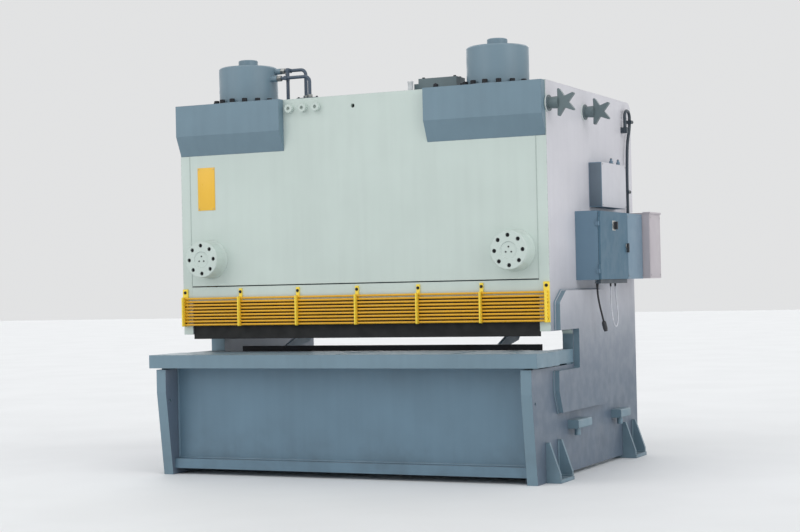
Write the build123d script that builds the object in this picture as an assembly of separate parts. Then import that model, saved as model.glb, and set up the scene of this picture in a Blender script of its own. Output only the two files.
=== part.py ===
"""Hydraulic guillotine shear for thick plate, in millimetres.

Origin: centre of the rectangle of floor anchor holes, at floor level.
+Z is up, +X is to the operator's right and -Y faces the operator.
Depths in this file count from the front plane of the upper frame, positive to the rear.
"""

from build123d import *
import math
import os

# Driving dimensions of the frame
front_y = -840.0
frame_half = 1500.0
frame_plate = 80.0
frame_height = 2800.0
rear_depth = 1960.0
throat_floor = 790.0
throat_roof = 1040.0
throat_depth = 460.0
leg_front_depth = -400.0
leg_toe_depth = -320.0
anchor_front_depth = -20.0
anchor_rear_depth = 1700.0

# Driving dimensions of the table and blades
table_top = 900.0
table_thick = 98.0
table_front_depth = -420.0
table_overhang = 50.0
blade_length = 2600.0
blade_height = 130.0
blade_thick = 40.0
blade_plane = 200.0
blade_gap = 1.0
blade_open = 110.0
blade_rake = 0.05
ram_stroke = 255.0

# Driving dimensions of the upper beam
plate_low = 1410.0
plate_high = 2795.0
housing_inner = 590.0
housing_outer = 1495.0
housing_low = 2410.0
housing_crease = 2560.0
housing_top = 2795.0
housing_proud = 70.0
housing_depth = 660.0

# Driving dimensions of the hydraulic cylinders
cylinder_x = 1040.0
cylinder_depth = 271.0
cylinder_radius = 227.0
cylinder_bore = 180.0
cylinder_top = 3090.0
rod_radius = 90.0
running_gap = 0.05

# Driving dimensions of the finger guard
rail_count = 9
rail_pitch = 25.0
rail_radius = 8.0
rail_low = 1115.0
guard_spacing = 494.0
guard_depth = 55.0

inner_half = frame_half - frame_plate
ram_back = blade_plane + blade_gap + blade_thick
ram_thick = 60.0
ram_rear = ram_back + ram_thick


def block(x, depth, z):
    """Box between two limits along each axis."""
    size = (x[1] - x[0], depth[1] - depth[0], z[1] - z[0])
    centre = ((x[0] + x[1]) / 2, front_y + (depth[0] + depth[1]) / 2, (z[0] + z[1]) / 2)
    return Pos(*centre) * Box(*size)


def side_panel(outline, x_low, x_high):
    """Plate square to X, from corners of (depth, height, corner radius)."""
    points = [(front_y + depth, z) for depth, z, radius in outline]
    radii = [radius for depth, z, radius in outline]
    edge = Plane.YZ.offset(x_low) * FilletPolyline(*points, radius=radii, close=True)
    return extrude(make_face(edge), amount=x_high - x_low, dir=(1, 0, 0))


def front_panel(outline, depth_low, depth_high):
    """Plate square to Y, from corners of (x, height)."""
    plane = Plane(origin=(0, front_y + depth_low, 0), x_dir=(1, 0, 0), z_dir=(0, -1, 0))
    edge = plane * Polyline(*outline, close=True)
    return extrude(make_face(edge), amount=depth_high - depth_low, dir=(0, 1, 0))


def rod_x(radius, x_low, x_high, depth, z):
    """Round bar along X."""
    middle = Pos((x_low + x_high) / 2, front_y + depth, z)
    return middle * Rot(0, 90, 0) * Cylinder(radius, x_high - x_low)


def rod_y(radius, x, depth_low, depth_high, z):
    """Round bar along Y."""
    middle = Pos(x, front_y + (depth_low + depth_high) / 2, z)
    return middle * Rot(90, 0, 0) * Cylinder(radius, depth_high - depth_low)


def rod_z(radius, x, depth, z_low, z_high):
    """Round bar along Z."""
    middle = Pos(x, front_y + depth, (z_low + z_high) / 2)
    return middle * Cylinder(radius, z_high - z_low)


def turned(profile, x, depth):
    """Body of revolution about a vertical axis, from (radius, height) corners."""
    outline = make_face(Plane.XZ * Polyline(*profile, close=True))
    return Pos(x, front_y + depth, 0) * revolve(outline, Axis.Z)


def turned_front(profile, x, z):
    """Body of revolution about an axis along Y, from (radius, depth) corners."""
    outline = make_face(Polyline(*profile, close=True))
    return Pos(x, front_y, z) * revolve(outline, Axis.Y)


def both_sides(part):
    """The part and its mirror image on the other side of the machine."""
    return [part, mirror(part, about=Plane.YZ)]


def joined(parts):
    """One solid from pieces that are welded together."""
    result = parts[0]
    for piece in parts[1:]:
        result = result + piece
    return result


def route_radii(points):
    """Bend radii that use 0.45 of the shorter run at each corner of a route."""
    radii = []
    for before, here, after in zip(points, points[1:], points[2:]):
        first = Vector(*here) - Vector(*before)
        second = Vector(*after) - Vector(*here)
        shorter = min(first.length, second.length)
        half_turn = math.radians(first.get_angle(second) / 2)
        radii.append(0.45 * shorter / math.tan(half_turn))
    return radii


def tube(points, radius, bends=None):
    """Round tube along a route of (x, depth, z) points with arcs at its corners."""
    route = [(x, front_y + depth, z) for x, depth, z in points]
    bends = bends or route_radii(route)
    path = FilletPolyline(*route, radius=bends)
    section = Plane(origin=path @ 0, z_dir=path % 0) * Circle(radius)
    return sweep(section, path=path)


# Side frames: thick C-shaped plates with a throat above the table

hand_hole_radius = 12.0
hand_hole = (-340.0, 556.0)
foot_relief = 25.0


def side_frame():
    """Right side frame plate, square to X."""
    outline = [
        (leg_toe_depth, 0, 0),
        (leg_front_depth, 620, 0),
        (leg_front_depth, throat_floor, 0),
        (throat_depth, throat_floor, 15),
        (throat_depth, throat_roof, 40),
        (0, throat_roof, 0),
        (0, frame_height, 0),
        (rear_depth, frame_height, 80),
        (rear_depth, 0, 0),
        (1560, 0, 0),
        (1545, foot_relief, 0),
        (165, foot_relief, 0),
        (150, 0, 0),
    ]
    plate = side_panel(outline, inner_half, frame_half)
    return plate - rod_x(hand_hole_radius, inner_half - 1, frame_half + 1, *hand_hole)


# Cheek plates: welded on the outer faces to stiffen the throats

cheek_thick = 45.0


def cheek_plate():
    """Right cheek plate, a thick C round the throat."""
    outline = [
        (75, 1045, 0),
        (75, 1240, 25),
        (205, 1322, 35),
        (1100, 1322, 60),
        (1100, 465, 60),
        (95, 465, 0),
        (25, 620, 0),
        (30, 762, 0),
        (468, 762, 12),
        (468, 1045, 12),
    ]
    return side_panel(outline, frame_half, frame_half + cheek_thick)


# Bed: a welded box below the table, hung between the side frames

bed_half = inner_half
bed_plate_depth = (-230.0, -200.0)
bed_low = 46.0
bed_floor_thick = 29.0
bed_rail_height = 72.0
rib_positions = [-945.0, -472.5, 0.0, 472.5, 945.0]
rib_thick = 30.0
rib_window_radius = 95.0
web_depth = (100.0, 160.0)
table_low = table_top - table_thick


def bed():
    """Front plate with foot rail, floor plate, cross ribs and the rear web behind the lower blade."""
    across = (-bed_half, bed_half)
    floor_top = bed_low + bed_floor_thick
    front_plate = block(across, bed_plate_depth, (bed_low, table_low))
    foot_rail = block(across, (-292, bed_plate_depth[0]), (bed_low, bed_low + bed_rail_height))
    floor_plate = block(across, (bed_plate_depth[1], web_depth[1]), (bed_low, floor_top))
    web = block(across, web_depth, (floor_top, table_low))
    parts = [front_plate, foot_rail, floor_plate, web]
    for x in rib_positions:
        rib = block(
            (x - rib_thick / 2, x + rib_thick / 2),
            (bed_plate_depth[1], web_depth[0]),
            (floor_top, table_low),
        )
        parts.append(rib - rod_x(rib_window_radius, x - rib_thick, x + rib_thick, -50, 440))
    return joined(parts)


# Table: one thick slab whose rear corners lie in the throats of the side frames

slab_rear_depth = 455.0
slab_step_depth = 25.0
slot_positions = [-900.0, 0.0, 900.0]
slot_front_depth = -360.0
slot_entry = 45.0


def table_slab():
    """Slab with end tongues, T-slots with a square entry and the pads it stands on."""
    z = (table_low, table_top)
    wide = frame_half + table_overhang
    front = block((-wide, wide), (table_front_depth, slab_step_depth), z)
    body = block((-frame_half, frame_half), (slab_step_depth, web_depth[1]), z)
    slab = front + body
    for side in (-1, 1):
        edges = sorted((side * inner_half, side * frame_half))
        slab += block(edges, (web_depth[1], slab_rear_depth), z)
        pad_x = sorted((side * (inner_half + 8), side * (frame_half - 8)))
        for depth in (-340, -60, 330):
            slab += block(pad_x, (depth, depth + 100), (throat_floor, table_low))
    for x in slot_positions:
        neck = block((x - 11, x + 11), (slot_front_depth, 70), (table_top - 24, table_top + 1))
        foot = block((x - 20, x + 20), (slot_front_depth, 70), (table_top - 42, table_top - 24))
        entry = block(
            (x - 20, x + 20),
            (slot_front_depth, slot_front_depth + slot_entry),
            (table_top - 42, table_top + 1),
        )
        slab -= neck + foot + entry
    return slab


# Blades: rectangular four-edged bars, the upper one raked

blade_bolt_count = 8
blade_bolt_radius = 14.0


def blade_bolts_x():
    """Positions of the blade bolts along X."""
    pitch = blade_length / blade_bolt_count
    return [pitch * (i + 0.5) - blade_length / 2 for i in range(blade_bolt_count)]


def lower_blade():
    """Lower blade, bolted to the rear edge of the table."""
    half = blade_length / 2
    thick = (blade_plane - blade_thick, blade_plane)
    bar = block((-half, half), thick, (table_top - blade_height, table_top))
    for x in blade_bolts_x():
        z = table_top - blade_height / 2
        bar -= rod_y(blade_bolt_radius, x, blade_plane - blade_thick - 1, blade_plane + 1, z)
        bar -= rod_y(blade_bolt_radius + 9, x, blade_plane - 24, blade_plane + 1, z)
    return bar


def blade_edge(x):
    """Height of the upper blade's cutting edge at rest."""
    middle = table_top + blade_open + blade_rake * blade_length / 2
    return middle + blade_rake * x


def upper_blade():
    """Upper blade, raked from low at the left to high at the right."""
    half = blade_length / 2
    outline = [
        (-half, blade_edge(-half)),
        (half, blade_edge(half)),
        (half, blade_edge(half) + blade_height),
        (-half, blade_edge(-half) + blade_height),
    ]
    front = blade_plane + blade_gap
    bar = front_panel(outline, front, ram_back)
    for x in blade_bolts_x():
        z = blade_edge(x) + blade_height / 2
        bar -= rod_y(blade_bolt_radius, x, front - 1, ram_back + 1, z)
        bar -= rod_y(blade_bolt_radius + 9, x, front - 1, front + 24, z)
    return bar


# Knife beam: the welded ram that carries the upper blade

ram_half = 1374.0
ram_top = 2280.0
ram_flange = 40.0
ram_rib_depth = 430.0
ram_rib_low = 1300.0
ram_ribs = [-1250.0, -750.0, -250.0, 250.0, 750.0, 1250.0]


def knife_beam():
    """Ram plate with a raked lower edge, flanges and rear ribs."""
    set_back = 25.0
    outline = [
        (-ram_half, blade_edge(-ram_half) + set_back),
        (ram_half, blade_edge(ram_half) + set_back),
        (ram_half, ram_top),
        (-ram_half, ram_top),
    ]
    parts = [front_panel(outline, ram_back, ram_rear)]
    reach = (-1320, 1320)
    parts.append(block(reach, (130, ram_back), (ram_top - ram_flange, ram_top)))
    parts.append(block(reach, (ram_rear, ram_rib_depth), (ram_top - ram_flange, ram_top)))
    parts.append(block(reach, (ram_rear, ram_rib_depth), (ram_rib_low, ram_rib_low + 30)))
    for x in ram_ribs:
        height = (ram_rib_low + 30, ram_top - ram_flange)
        parts.append(block((x - 15, x + 15), (ram_rear, ram_rib_depth), height))
    return joined(parts)


# Ram guides: channels bolted inside the side frames

guide_low = 1120.0
guide_high = 2395.0
guide_lip = 34.0
guide_cheek = 30.0
slide_gap = 0.3


def ram_guide():
    """Right guide channel, with lips in front of and behind the ram's edge."""
    channel = block(
        (ram_half - guide_lip, inner_half),
        (ram_back - guide_cheek, ram_rear + guide_cheek),
        (guide_low, guide_high),
    )
    groove = block(
        (ram_half - guide_lip - 1, ram_half + slide_gap),
        (ram_back - slide_gap, ram_rear + slide_gap),
        (guide_low - 1, guide_high + 1),
    )
    return channel - groove


def ram_guides():
    """Both channels and the two round pads that press the ram from the front."""
    parts = both_sides(ram_guide())
    for side in (-1, 1):
        parts.append(rod_y(thrust_bore, side * thrust_x, thrust_floor, ram_back - slide_gap, thrust_z))
    return parts


# Upper front beam: thick plate notched round the cylinder housings

thrust_x = 1250.0
thrust_z = 1612.0
thrust_spigot = 95.0
tapped_hole = (-6.0, 2713.0)
port_positions = [-530.0, -416.0, -305.0]
port_z = 2723.0
plug_radius = 32.0
beam_thick = 40.0


def front_beam():
    """Front plate with three oil plugs, a tapped hole and openings for the thrust housings."""
    half = inner_half
    notch = housing_inner
    notch_z = housing_low
    outline = [
        (-half, plate_low),
        (half, plate_low),
        (half, notch_z),
        (notch, notch_z),
        (notch, plate_high),
        (-notch, plate_high),
        (-notch, notch_z),
        (-half, notch_z),
    ]
    plate = front_panel(outline, 0, beam_thick)
    plate -= rod_y(15, tapped_hole[0], -1, 30, tapped_hole[1])
    for side in (-1, 1):
        plate -= rod_y(thrust_spigot, side * thrust_x, -1, beam_thick + 1, thrust_z)
    for x in port_positions:
        plate += rod_y(plug_radius, x, -34, 0, port_z)
        plate -= rod_y(13, x, -35, -12, port_z)
    return plate


# Thrust housings: round bolted bosses that hold the ram's front pads

thrust_radius = 138.0
thrust_base_radius = 150.0
thrust_proud = 140.0
thrust_bolt_circle = 106.0
thrust_bolt_count = 8
thrust_bore = 60.0
thrust_floor = 20.0
thrust_foot = 150.0


def thrust_bolts(x):
    """Places of the bolts on one housing as (x, z)."""
    places = []
    for i in range(thrust_bolt_count):
        angle = math.radians(360 / thrust_bolt_count * i + 2)
        across = thrust_bolt_circle * math.cos(angle)
        places.append((x + across, thrust_z + thrust_bolt_circle * math.sin(angle)))
    return places


def thrust_housing(x):
    """Tapered boss with a spigot through the plate and a blind bore for the pad."""
    profile = [
        (0, -thrust_proud + 6),
        (58, -thrust_proud + 6),
        (62, -thrust_proud),
        (thrust_radius - 5, -thrust_proud),
        (thrust_radius, -thrust_proud + 5),
        (thrust_radius + 2, -30),
        (thrust_base_radius, 0),
        (thrust_spigot, 0),
        (thrust_spigot, thrust_foot),
        (thrust_bore, thrust_foot),
        (thrust_bore, thrust_floor),
        (0, thrust_floor),
    ]
    body = turned_front(profile, x, thrust_z)
    for bolt_x, bolt_z in thrust_bolts(x):
        body -= rod_y(15, bolt_x, -thrust_proud - 1, -thrust_proud + 20, bolt_z)
    return body


def thrust_screws():
    """Cap screws sunk in both housings, as separate solids."""
    screws = []
    for side in (-1, 1):
        for x, z in thrust_bolts(side * thrust_x):
            screws.append(rod_y(13, x, -thrust_proud + 5, -thrust_proud + 20, z))
    return screws


# Cylinder housings: heavy caps at the top corners, open below

housing_wall = 50.0
housing_roof = 80.0
spigot_radius = 215.0


def cylinder_housing():
    """Right housing with a sloping lower front face and a bored roof."""
    nose = [
        (0, housing_low, 0),
        (0, housing_top, 0),
        (-housing_proud, housing_top, 0),
        (-housing_proud, housing_crease, 0),
    ]
    front = side_panel(nose, housing_inner, housing_outer)
    half = inner_half
    body = block((housing_inner, half), (0, housing_depth), (housing_low, housing_top))
    hollow = block(
        (housing_inner + housing_wall, half - housing_wall),
        (20, housing_depth - housing_wall),
        (housing_low - 1, housing_top - housing_roof),
    )
    bore = rod_z(spigot_radius, cylinder_x, cylinder_depth, housing_low, housing_top + 1)
    return front + body - hollow - bore


# Main cylinders: barrels flanged on the housings, closed on top

flange_radius = 288.0
flange_thick = 10.0
barrel_foot = 2430.0
gland_top = 2510.0
piston_low = gland_top + ram_stroke + 115.0
bore_top = 3030.0
boss_radius = 75.0
boss_height = 60.0
flange_bolt_circle = 256.0
flange_bolt_count = 16
port_root = 210.0
port_radius = 23.0
pipe_radius = 13.0
upper_pipe = (300.0, 3052.0)
lower_pipe = (240.0, 2990.0)
upper_pipe_x = -552.0
lower_pipe_x = -488.0
rear_port_z = 3000.0


def main_cylinder(x):
    """Barrel with flange, gland bore, piston bore and top boss."""
    flange_top = housing_top + flange_thick
    profile = [
        (rod_radius + running_gap, barrel_foot),
        (spigot_radius, barrel_foot),
        (spigot_radius, housing_top),
        (flange_radius, housing_top),
        (flange_radius, flange_top - 4),
        (flange_radius - 4, flange_top),
        (cylinder_radius, flange_top),
        (cylinder_radius, cylinder_top - 10),
        (cylinder_radius - 10, cylinder_top),
        (boss_radius, cylinder_top),
        (boss_radius, cylinder_top + boss_height - 5),
        (boss_radius - 5, cylinder_top + boss_height),
        (0, cylinder_top + boss_height),
        (0, bore_top),
        (cylinder_bore, bore_top),
        (cylinder_bore, gland_top),
        (rod_radius + running_gap, gland_top),
    ]
    return turned(profile, x, cylinder_depth)


def main_cylinder_left():
    """Left cylinder, with two side ports facing the middle of the machine."""
    body = main_cylinder(-cylinder_x)
    for depth, z in (upper_pipe, lower_pipe):
        body += rod_x(port_radius, -cylinder_x + port_root, -cylinder_x + 275, depth, z)
    return body


def main_cylinder_right():
    """Right cylinder, with one port at the rear."""
    near = cylinder_depth + port_root
    return main_cylinder(cylinder_x) + rod_y(port_radius, cylinder_x, near, cylinder_depth + 275, rear_port_z)


def flange_screws():
    """Socket screws round both cylinder flanges, as separate solids."""
    seat = housing_top + flange_thick
    screws = []
    for side in (-1, 1):
        for i in range(flange_bolt_count):
            angle = math.radians(360 / flange_bolt_count * i)
            x = side * cylinder_x + flange_bolt_circle * math.cos(angle)
            depth = cylinder_depth + flange_bolt_circle * math.sin(angle)
            screws.append(rod_z(20, x, depth, seat, seat + 30))
    return screws


def piston_rods():
    """Rods with pistons above and bolting flanges below, as separate solids."""
    profile = [
        (0, ram_top),
        (150, ram_top),
        (150, ram_top + 40),
        (rod_radius, ram_top + 40),
        (rod_radius, piston_low),
        (cylinder_bore - running_gap, piston_low),
        (cylinder_bore - running_gap, 3000),
        (0, 3000),
    ]
    return [turned(profile, side * cylinder_x, cylinder_depth) for side in (-1, 1)]


# Crown: top plate between the housings

crown_low = 2755.0
crown_top = housing_top


def crown_plate():
    """Top plate with the short vent post at the manifold's side."""
    plate = block((-housing_inner, housing_inner), (beam_thick, housing_depth), (crown_low, crown_top))
    return plate + rod_z(17, 388, 170, crown_top, crown_top + 85)


# Hydraulic pipes

valve_front = 900.0
pipe_bend = 42.0


def pipe_supports():
    """Upright clamp bar beside the left cylinder and the block where its pipes end."""
    bar = block((-701, -683), (205, 335), (housing_top, 3078))
    for depth, z in (upper_pipe, lower_pipe):
        bar -= rod_x(pipe_radius, -702, -682, depth, z)
    foot = block((-585, -405), (205, 335), (crown_top, crown_top + 30))
    return [bar, foot]


def hydraulic_pipes():
    """Two pipes of the left cylinder, one of the right, the feed below the crown and the pump's outlet."""
    start = -cylinder_x + 275
    foot_top = crown_top + 30
    drops = []
    for (depth, z), corner in ((upper_pipe, upper_pipe_x), (lower_pipe, lower_pipe_x)):
        route = [(start, depth, z), (corner, depth, z), (corner, depth, foot_top)]
        drops.append(tube(route, pipe_radius, [pipe_bend]))
    rear_port = cylinder_depth + 275
    right = tube(
        [
            (cylinder_x, rear_port, rear_port_z),
            (cylinder_x, 730, rear_port_z),
            (cylinder_x, 730, 2230),
            (620, 730, 2230),
            (620, valve_front, 2230),
        ],
        pipe_radius,
        [pipe_bend] * 3,
    )
    feed = tube(
        [
            (-430, 480, crown_low),
            (-430, 480, 2640),
            (-430, 720, 2640),
            (-430, 720, 2180),
            (420, 720, 2180),
            (420, valve_front, 2180),
        ],
        pipe_radius,
        [pipe_bend] * 4,
    )
    outlet_z = motor_z - 142
    outlet = tube(
        [
            (165, motor_depth - 120, motor_z),
            (165, 990, motor_z),
            (165, 990, outlet_z),
            (350, 990, outlet_z),
        ],
        pipe_radius,
        [pipe_bend] * 2,
    )
    return drops + [right, feed, outlet] + pipe_supports()


# Hold-downs: a row of vertical plungers below the front beam

holder_low = 1130.0
holder_high = 1402.0
holder_depth = 150.0
plunger_depth = 90.0
plunger_radius = 35.0
plunger_positions = [170.0 * k for k in (-7, -5, -3, -1, 1, 3, 5, 7)]
cartridge_radius = 52.0
cartridge_high = 1385.0
apron_low = 1005.0
apron_high = 1290.0
apron_depth = (12.0, 22.0)


def hold_down_beam():
    """Solid bar across the front, set back below for the apron and bored for the cartridges."""
    bar = block((-inner_half, inner_half), (0, holder_depth), (apron_high, holder_high))
    bar += block((-inner_half, inner_half), (apron_depth[1], holder_depth), (holder_low, apron_high))
    for x in plunger_positions:
        bar -= rod_z(cartridge_radius, x, plunger_depth, holder_low - 1, cartridge_high)
    return bar


def hold_down_apron():
    """Dark plate on the set-back face, which hides the plungers behind the guard."""
    return block((-inner_half + 1, inner_half - 1), apron_depth, (apron_low, apron_high))


def hold_down_cartridges():
    """Flanged sleeves, as separate solids."""
    profile = [
        (plunger_radius + running_gap, 1112),
        (66, 1112),
        (66, holder_low),
        (cartridge_radius, holder_low),
        (cartridge_radius, cartridge_high),
        (0, cartridge_high),
        (0, 1365),
        (plunger_radius + running_gap, 1365),
    ]
    return [turned(profile, x, plunger_depth) for x in plunger_positions]


def hold_down_plunger(x):
    """Plunger with a round foot."""
    profile = [
        (0, 1020),
        (46, 1020),
        (50, 1024),
        (50, 1050),
        (plunger_radius, 1056),
        (plunger_radius, 1340),
        (0, 1340),
    ]
    return turned(profile, x, plunger_depth)


# Finger guard: round rails welded into upright plates that bolt to the beam

guard_plate = 10.0
rail_depth = -22.0
guard_tab_high = 1388.0
guard_tab_half = 13.0
guard_end_half = 22.0
guard_margin = 4.0
guard_reach = 3 * guard_spacing + guard_plate / 2


def guard_rails():
    """Horizontal rails, as separate solids."""
    heights = [rail_low + i * rail_pitch for i in range(rail_count)]
    return [rod_x(rail_radius, -guard_reach, guard_reach, rail_depth, z) for z in heights]


def guard_brackets():
    """Upright plates with fixing tabs, full height at the ends, and a hole for each rail."""
    low = rail_low - rail_radius - guard_margin
    high = rail_low + rail_pitch * (rail_count - 1) + rail_radius + guard_margin
    outline = [
        (-guard_depth, low, 6),
        (-guard_depth, high, 6),
        (-12, high, 0),
        (-12, low, 0),
    ]
    brackets = []
    for k in range(-3, 4):
        x = k * guard_spacing
        upright = side_panel(outline, x - guard_plate / 2, x + guard_plate / 2)
        for i in range(rail_count):
            z = rail_low + i * rail_pitch
            upright -= rod_x(rail_radius, x - guard_plate, x + guard_plate, rail_depth, z)
        if abs(k) == 3:
            edges = sorted((math.copysign(frame_half, k), math.copysign(frame_half - 2 * guard_end_half, k)))
            tab = block(edges, (-12, 0), (low, guard_tab_high))
        else:
            tab = block((x - guard_tab_half, x + guard_tab_half), (-12, 0), (apron_high, guard_tab_high))
        brackets.append(upright + tab)
    return brackets


# Tie beams between the side frames, as square tubes

def tie_beams():
    """Four box tubes, as separate solids."""
    beams = []
    sections = [
        ((560, 680), (1430, 1580)),
        ((1520, 1640), (1430, 1580)),
        ((1750, 1900), (2500, 2700)),
        ((1750, 1900), (120, 320)),
    ]
    wall = 12
    for depth, z in sections:
        outer = block((-inner_half, inner_half), depth, z)
        inner = block(
            (-inner_half - 1, inner_half + 1),
            (depth[0] + wall, depth[1] - wall),
            (z[0] + wall, z[1] - wall),
        )
        beams.append(outer - inner)
    return beams


# Power pack on the tie beams

tank_low = 1580.0
tank_high = 2080.0
tank_depth = (580.0, 1660.0)
tank_half = 950.0
lid_top = tank_high + 12
cover_positions = [-480.0, 300.0]
cover_radius = 180.0
cover_z = 1825.0
motor_depth = 1250.0
motor_z = lid_top + 230
shaft_end_radius = 21.0


def oil_tank():
    """Open-topped tank with two round cleaning covers on its rear wall."""
    wall = 8
    outer = block((-tank_half, tank_half), tank_depth, (tank_low, tank_high))
    inner = block(
        (-tank_half + wall, tank_half - wall),
        (tank_depth[0] + wall, tank_depth[1] - wall),
        (tank_low + wall, tank_high + 1),
    )
    tank = outer - inner
    for x in cover_positions:
        tank += rod_y(cover_radius, x, tank_depth[1], tank_depth[1] + 12, cover_z)
    return tank


def tank_lid():
    """Lid that overhangs the tank."""
    across = (-tank_half - 12, tank_half + 12)
    return block(across, (tank_depth[0] - 12, tank_depth[1] + 12), (tank_high, lid_top))


def pump_motor():
    """Finned motor lying along X, with feet and a terminal box."""
    body = rod_x(172, -640, -110, motor_depth, motor_z)
    fins = rod_x(190, -600, -180, motor_depth, motor_z)
    slots = []
    for i in range(28):
        turn = Pos(-390, front_y + motor_depth, motor_z) * Rot(360 / 28 * i, 0, 0)
        slot = turn * Pos(0, 0, 184) * Box(422, 20, 26)
        slots.append(slot)
    body = body + fins.cut(*slots)
    body += rod_x(196, -140, -110, motor_depth, motor_z)
    body += rod_x(192, -690, -620, motor_depth, motor_z)
    for x in (-540, -220):
        body += block((x - 40, x + 40), (motor_depth - 170, motor_depth + 170), (lid_top, lid_top + 24))
        body += block((x - 12, x + 12), (motor_depth - 120, motor_depth + 120), (lid_top + 20, motor_z - 120))
    body += block((-470, -310), (motor_depth - 75, motor_depth + 75), (motor_z + 160, motor_z + 250))
    return body - rod_x(shaft_end_radius + running_gap, -130, -109, motor_depth, motor_z)


def bell_housing():
    """Hollow spacer between motor and pump, with two windows."""
    shell = rod_x(140, -110, 70, motor_depth, motor_z)
    shell += rod_x(185, -110, -90, motor_depth, motor_z)
    shell -= rod_x(115, -111, 50, motor_depth, motor_z)
    shell -= rod_x(shaft_end_radius + 6, 40, 71, motor_depth, motor_z)
    window = block((-60, 25), (motor_depth - 150, motor_depth + 150), (motor_z - 45, motor_z + 45))
    return shell - window


def shaft_coupling():
    """Jaw coupling inside the bell housing, with a shaft end in the motor and one in the pump."""
    hubs = rod_x(62, -104, -45, motor_depth, motor_z) + rod_x(62, -33, 26, motor_depth, motor_z)
    spider = rod_x(48, -46, -32, motor_depth, motor_z)
    shaft = rod_x(shaft_end_radius, -129, 91, motor_depth, motor_z)
    return hubs + spider + shaft


def hydraulic_pump():
    """Pump body behind its flange, with suction and pressure ports."""
    body = rod_x(110, 70, 92, motor_depth, motor_z)
    body += block((92, 240), (motor_depth - 80, motor_depth + 80), (motor_z - 95, motor_z + 95))
    body += rod_x(60, 240, 300, motor_depth, motor_z)
    body += rod_z(32, 165, motor_depth, lid_top, motor_z - 90)
    body += rod_y(24, 165, motor_depth - 120, motor_depth - 78, motor_z)
    return body - rod_x(shaft_end_radius + running_gap, 69, 92, motor_depth, motor_z)


def crown_manifold():
    """Stepped block on the crown."""
    body = block((395, 735), (220, 380), (crown_top, crown_top + 105))
    return body - block((394, 430), (219, 381), (crown_top + 68, crown_top + 106))


def valve_block():
    """Manifold on the tank with three cartridge valves and their coils."""
    body = block((350, 750), (valve_front, valve_front + 180), (lid_top, lid_top + 190))
    for x in (430, 550, 670):
        body += rod_z(30, x, valve_front + 90, lid_top + 190, lid_top + 230)
        body += rod_z(40, x, valve_front + 90, lid_top + 230, lid_top + 310)
        body += rod_z(16, x, valve_front + 90, lid_top + 310, lid_top + 330)
    return body


def tank_fittings():
    """Return filter, breather and level glass, as separate solids."""
    filter_profile = [
        (0, lid_top),
        (95, lid_top),
        (95, lid_top + 18),
        (70, lid_top + 18),
        (70, lid_top + 190),
        (84, lid_top + 195),
        (84, lid_top + 225),
        (30, lid_top + 240),
        (0, lid_top + 240),
    ]
    breather_profile = [
        (0, lid_top),
        (22, lid_top),
        (22, lid_top + 40),
        (46, lid_top + 46),
        (46, lid_top + 96),
        (36, lid_top + 106),
        (0, lid_top + 106),
    ]
    rear = tank_depth[1]
    glass = block((680, 740), (rear, rear + 22), (1660, 1980))
    glass -= block((696, 724), (rear + 12, rear + 23), (1700, 1940))
    return [turned(filter_profile, -300, 820), turned(breather_profile, -700, 820), glass]


# Back gauge: a stop bar moved along two guide bars by lead screws

gauge_x = 900.0
guide_bar_low = 1350.0
screw_z = 1312.0
screw_radius = 16.0
shaft_radius = 12.5
shaft_depth = 1690.0
drive_depth = (1640.0, 1740.0)
gauge_face = 450.0
gauge_bar_z = (880.0, 932.0)
carriage_depth = (850.0, 950.0)


def gauge_guide_bars():
    """Bars under the tie beams with front screw bearings, as separate solids."""
    bars = []
    for side in (-1, 1):
        x = side * gauge_x
        bar = block((x - 30, x + 30), (560, drive_depth[0]), (guide_bar_low, 1430))
        bar += block((x - 40, x + 40), (600, 640), (screw_z - 40, guide_bar_low))
        bar -= rod_y(screw_radius + running_gap, x, 599, 641, screw_z)
        bars.append(bar)
    return bars


def gauge_drive():
    """Corner gearboxes, middle gearbox and motor, as separate solids."""
    boxes = []
    for x in (-gauge_x, 0, gauge_x):
        box = block((x - 50, x + 50), drive_depth, (screw_z - 50, 1500))
        box = chamfer(box.edges().filter_by(Axis.X).group_by(Axis.Z)[0], 14)
        if x == 0:
            box -= rod_x(shaft_radius + running_gap, x - 51, x + 51, shaft_depth, screw_z)
            box += rod_y(62, x, drive_depth[1], rear_depth - 30, 1400)
            box += rod_y(70, x, rear_depth - 90, rear_depth - 30, 1400)
        else:
            inward = -1 if x > 0 else 1
            edge = x + inward * 50
            pocket = sorted((edge + inward, edge - inward * 15))
            box -= rod_x(shaft_radius + running_gap, pocket[0], pocket[1], shaft_depth, screw_z)
            box -= rod_y(screw_radius + running_gap, x, drive_depth[0] - 1, drive_depth[0] + 25, screw_z)
        boxes.append(box)
    return boxes


def lead_screw(side):
    """Lead screw between the front bearing and its gearbox."""
    return rod_y(screw_radius, side * gauge_x, 604, drive_depth[0] + 24, screw_z)


def cross_shaft():
    """Shaft that keeps both lead screws together."""
    reach = gauge_x - 50 + 13
    return rod_x(shaft_radius, -reach, reach, shaft_depth, screw_z)


def gauge_carriages():
    """Nut blocks astride the guide bars with their hanger arms, as separate solids."""
    parts = []
    for side in (-1, 1):
        x = side * gauge_x
        nut = block((x - 60, x + 60), carriage_depth, (screw_z - 32, 1425))
        through = (carriage_depth[0] - 1, carriage_depth[1] + 1)
        nut -= block((x - 30.3, x + 30.3), through, (guide_bar_low - 0.3, 1426))
        nut -= rod_y(screw_radius + running_gap, x, carriage_depth[0] - 1, carriage_depth[1] + 1, screw_z)
        arm = [
            (860, screw_z - 32, 0),
            (860, 1080, 30),
            (820, 1040, 30),
            (gauge_face + 50, 926, 0),
            (gauge_face + 50, 885, 0),
            (900, 950, 40),
            (940, 1000, 30),
            (940, screw_z - 32, 0),
        ]
        parts.append(nut + side_panel(arm, x - 12, x + 12))
    return parts


def gauge_bar():
    """Stop bar with a shallow face plate."""
    return block((-1250, 1250), (gauge_face, gauge_face + 50), gauge_bar_z)


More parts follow.
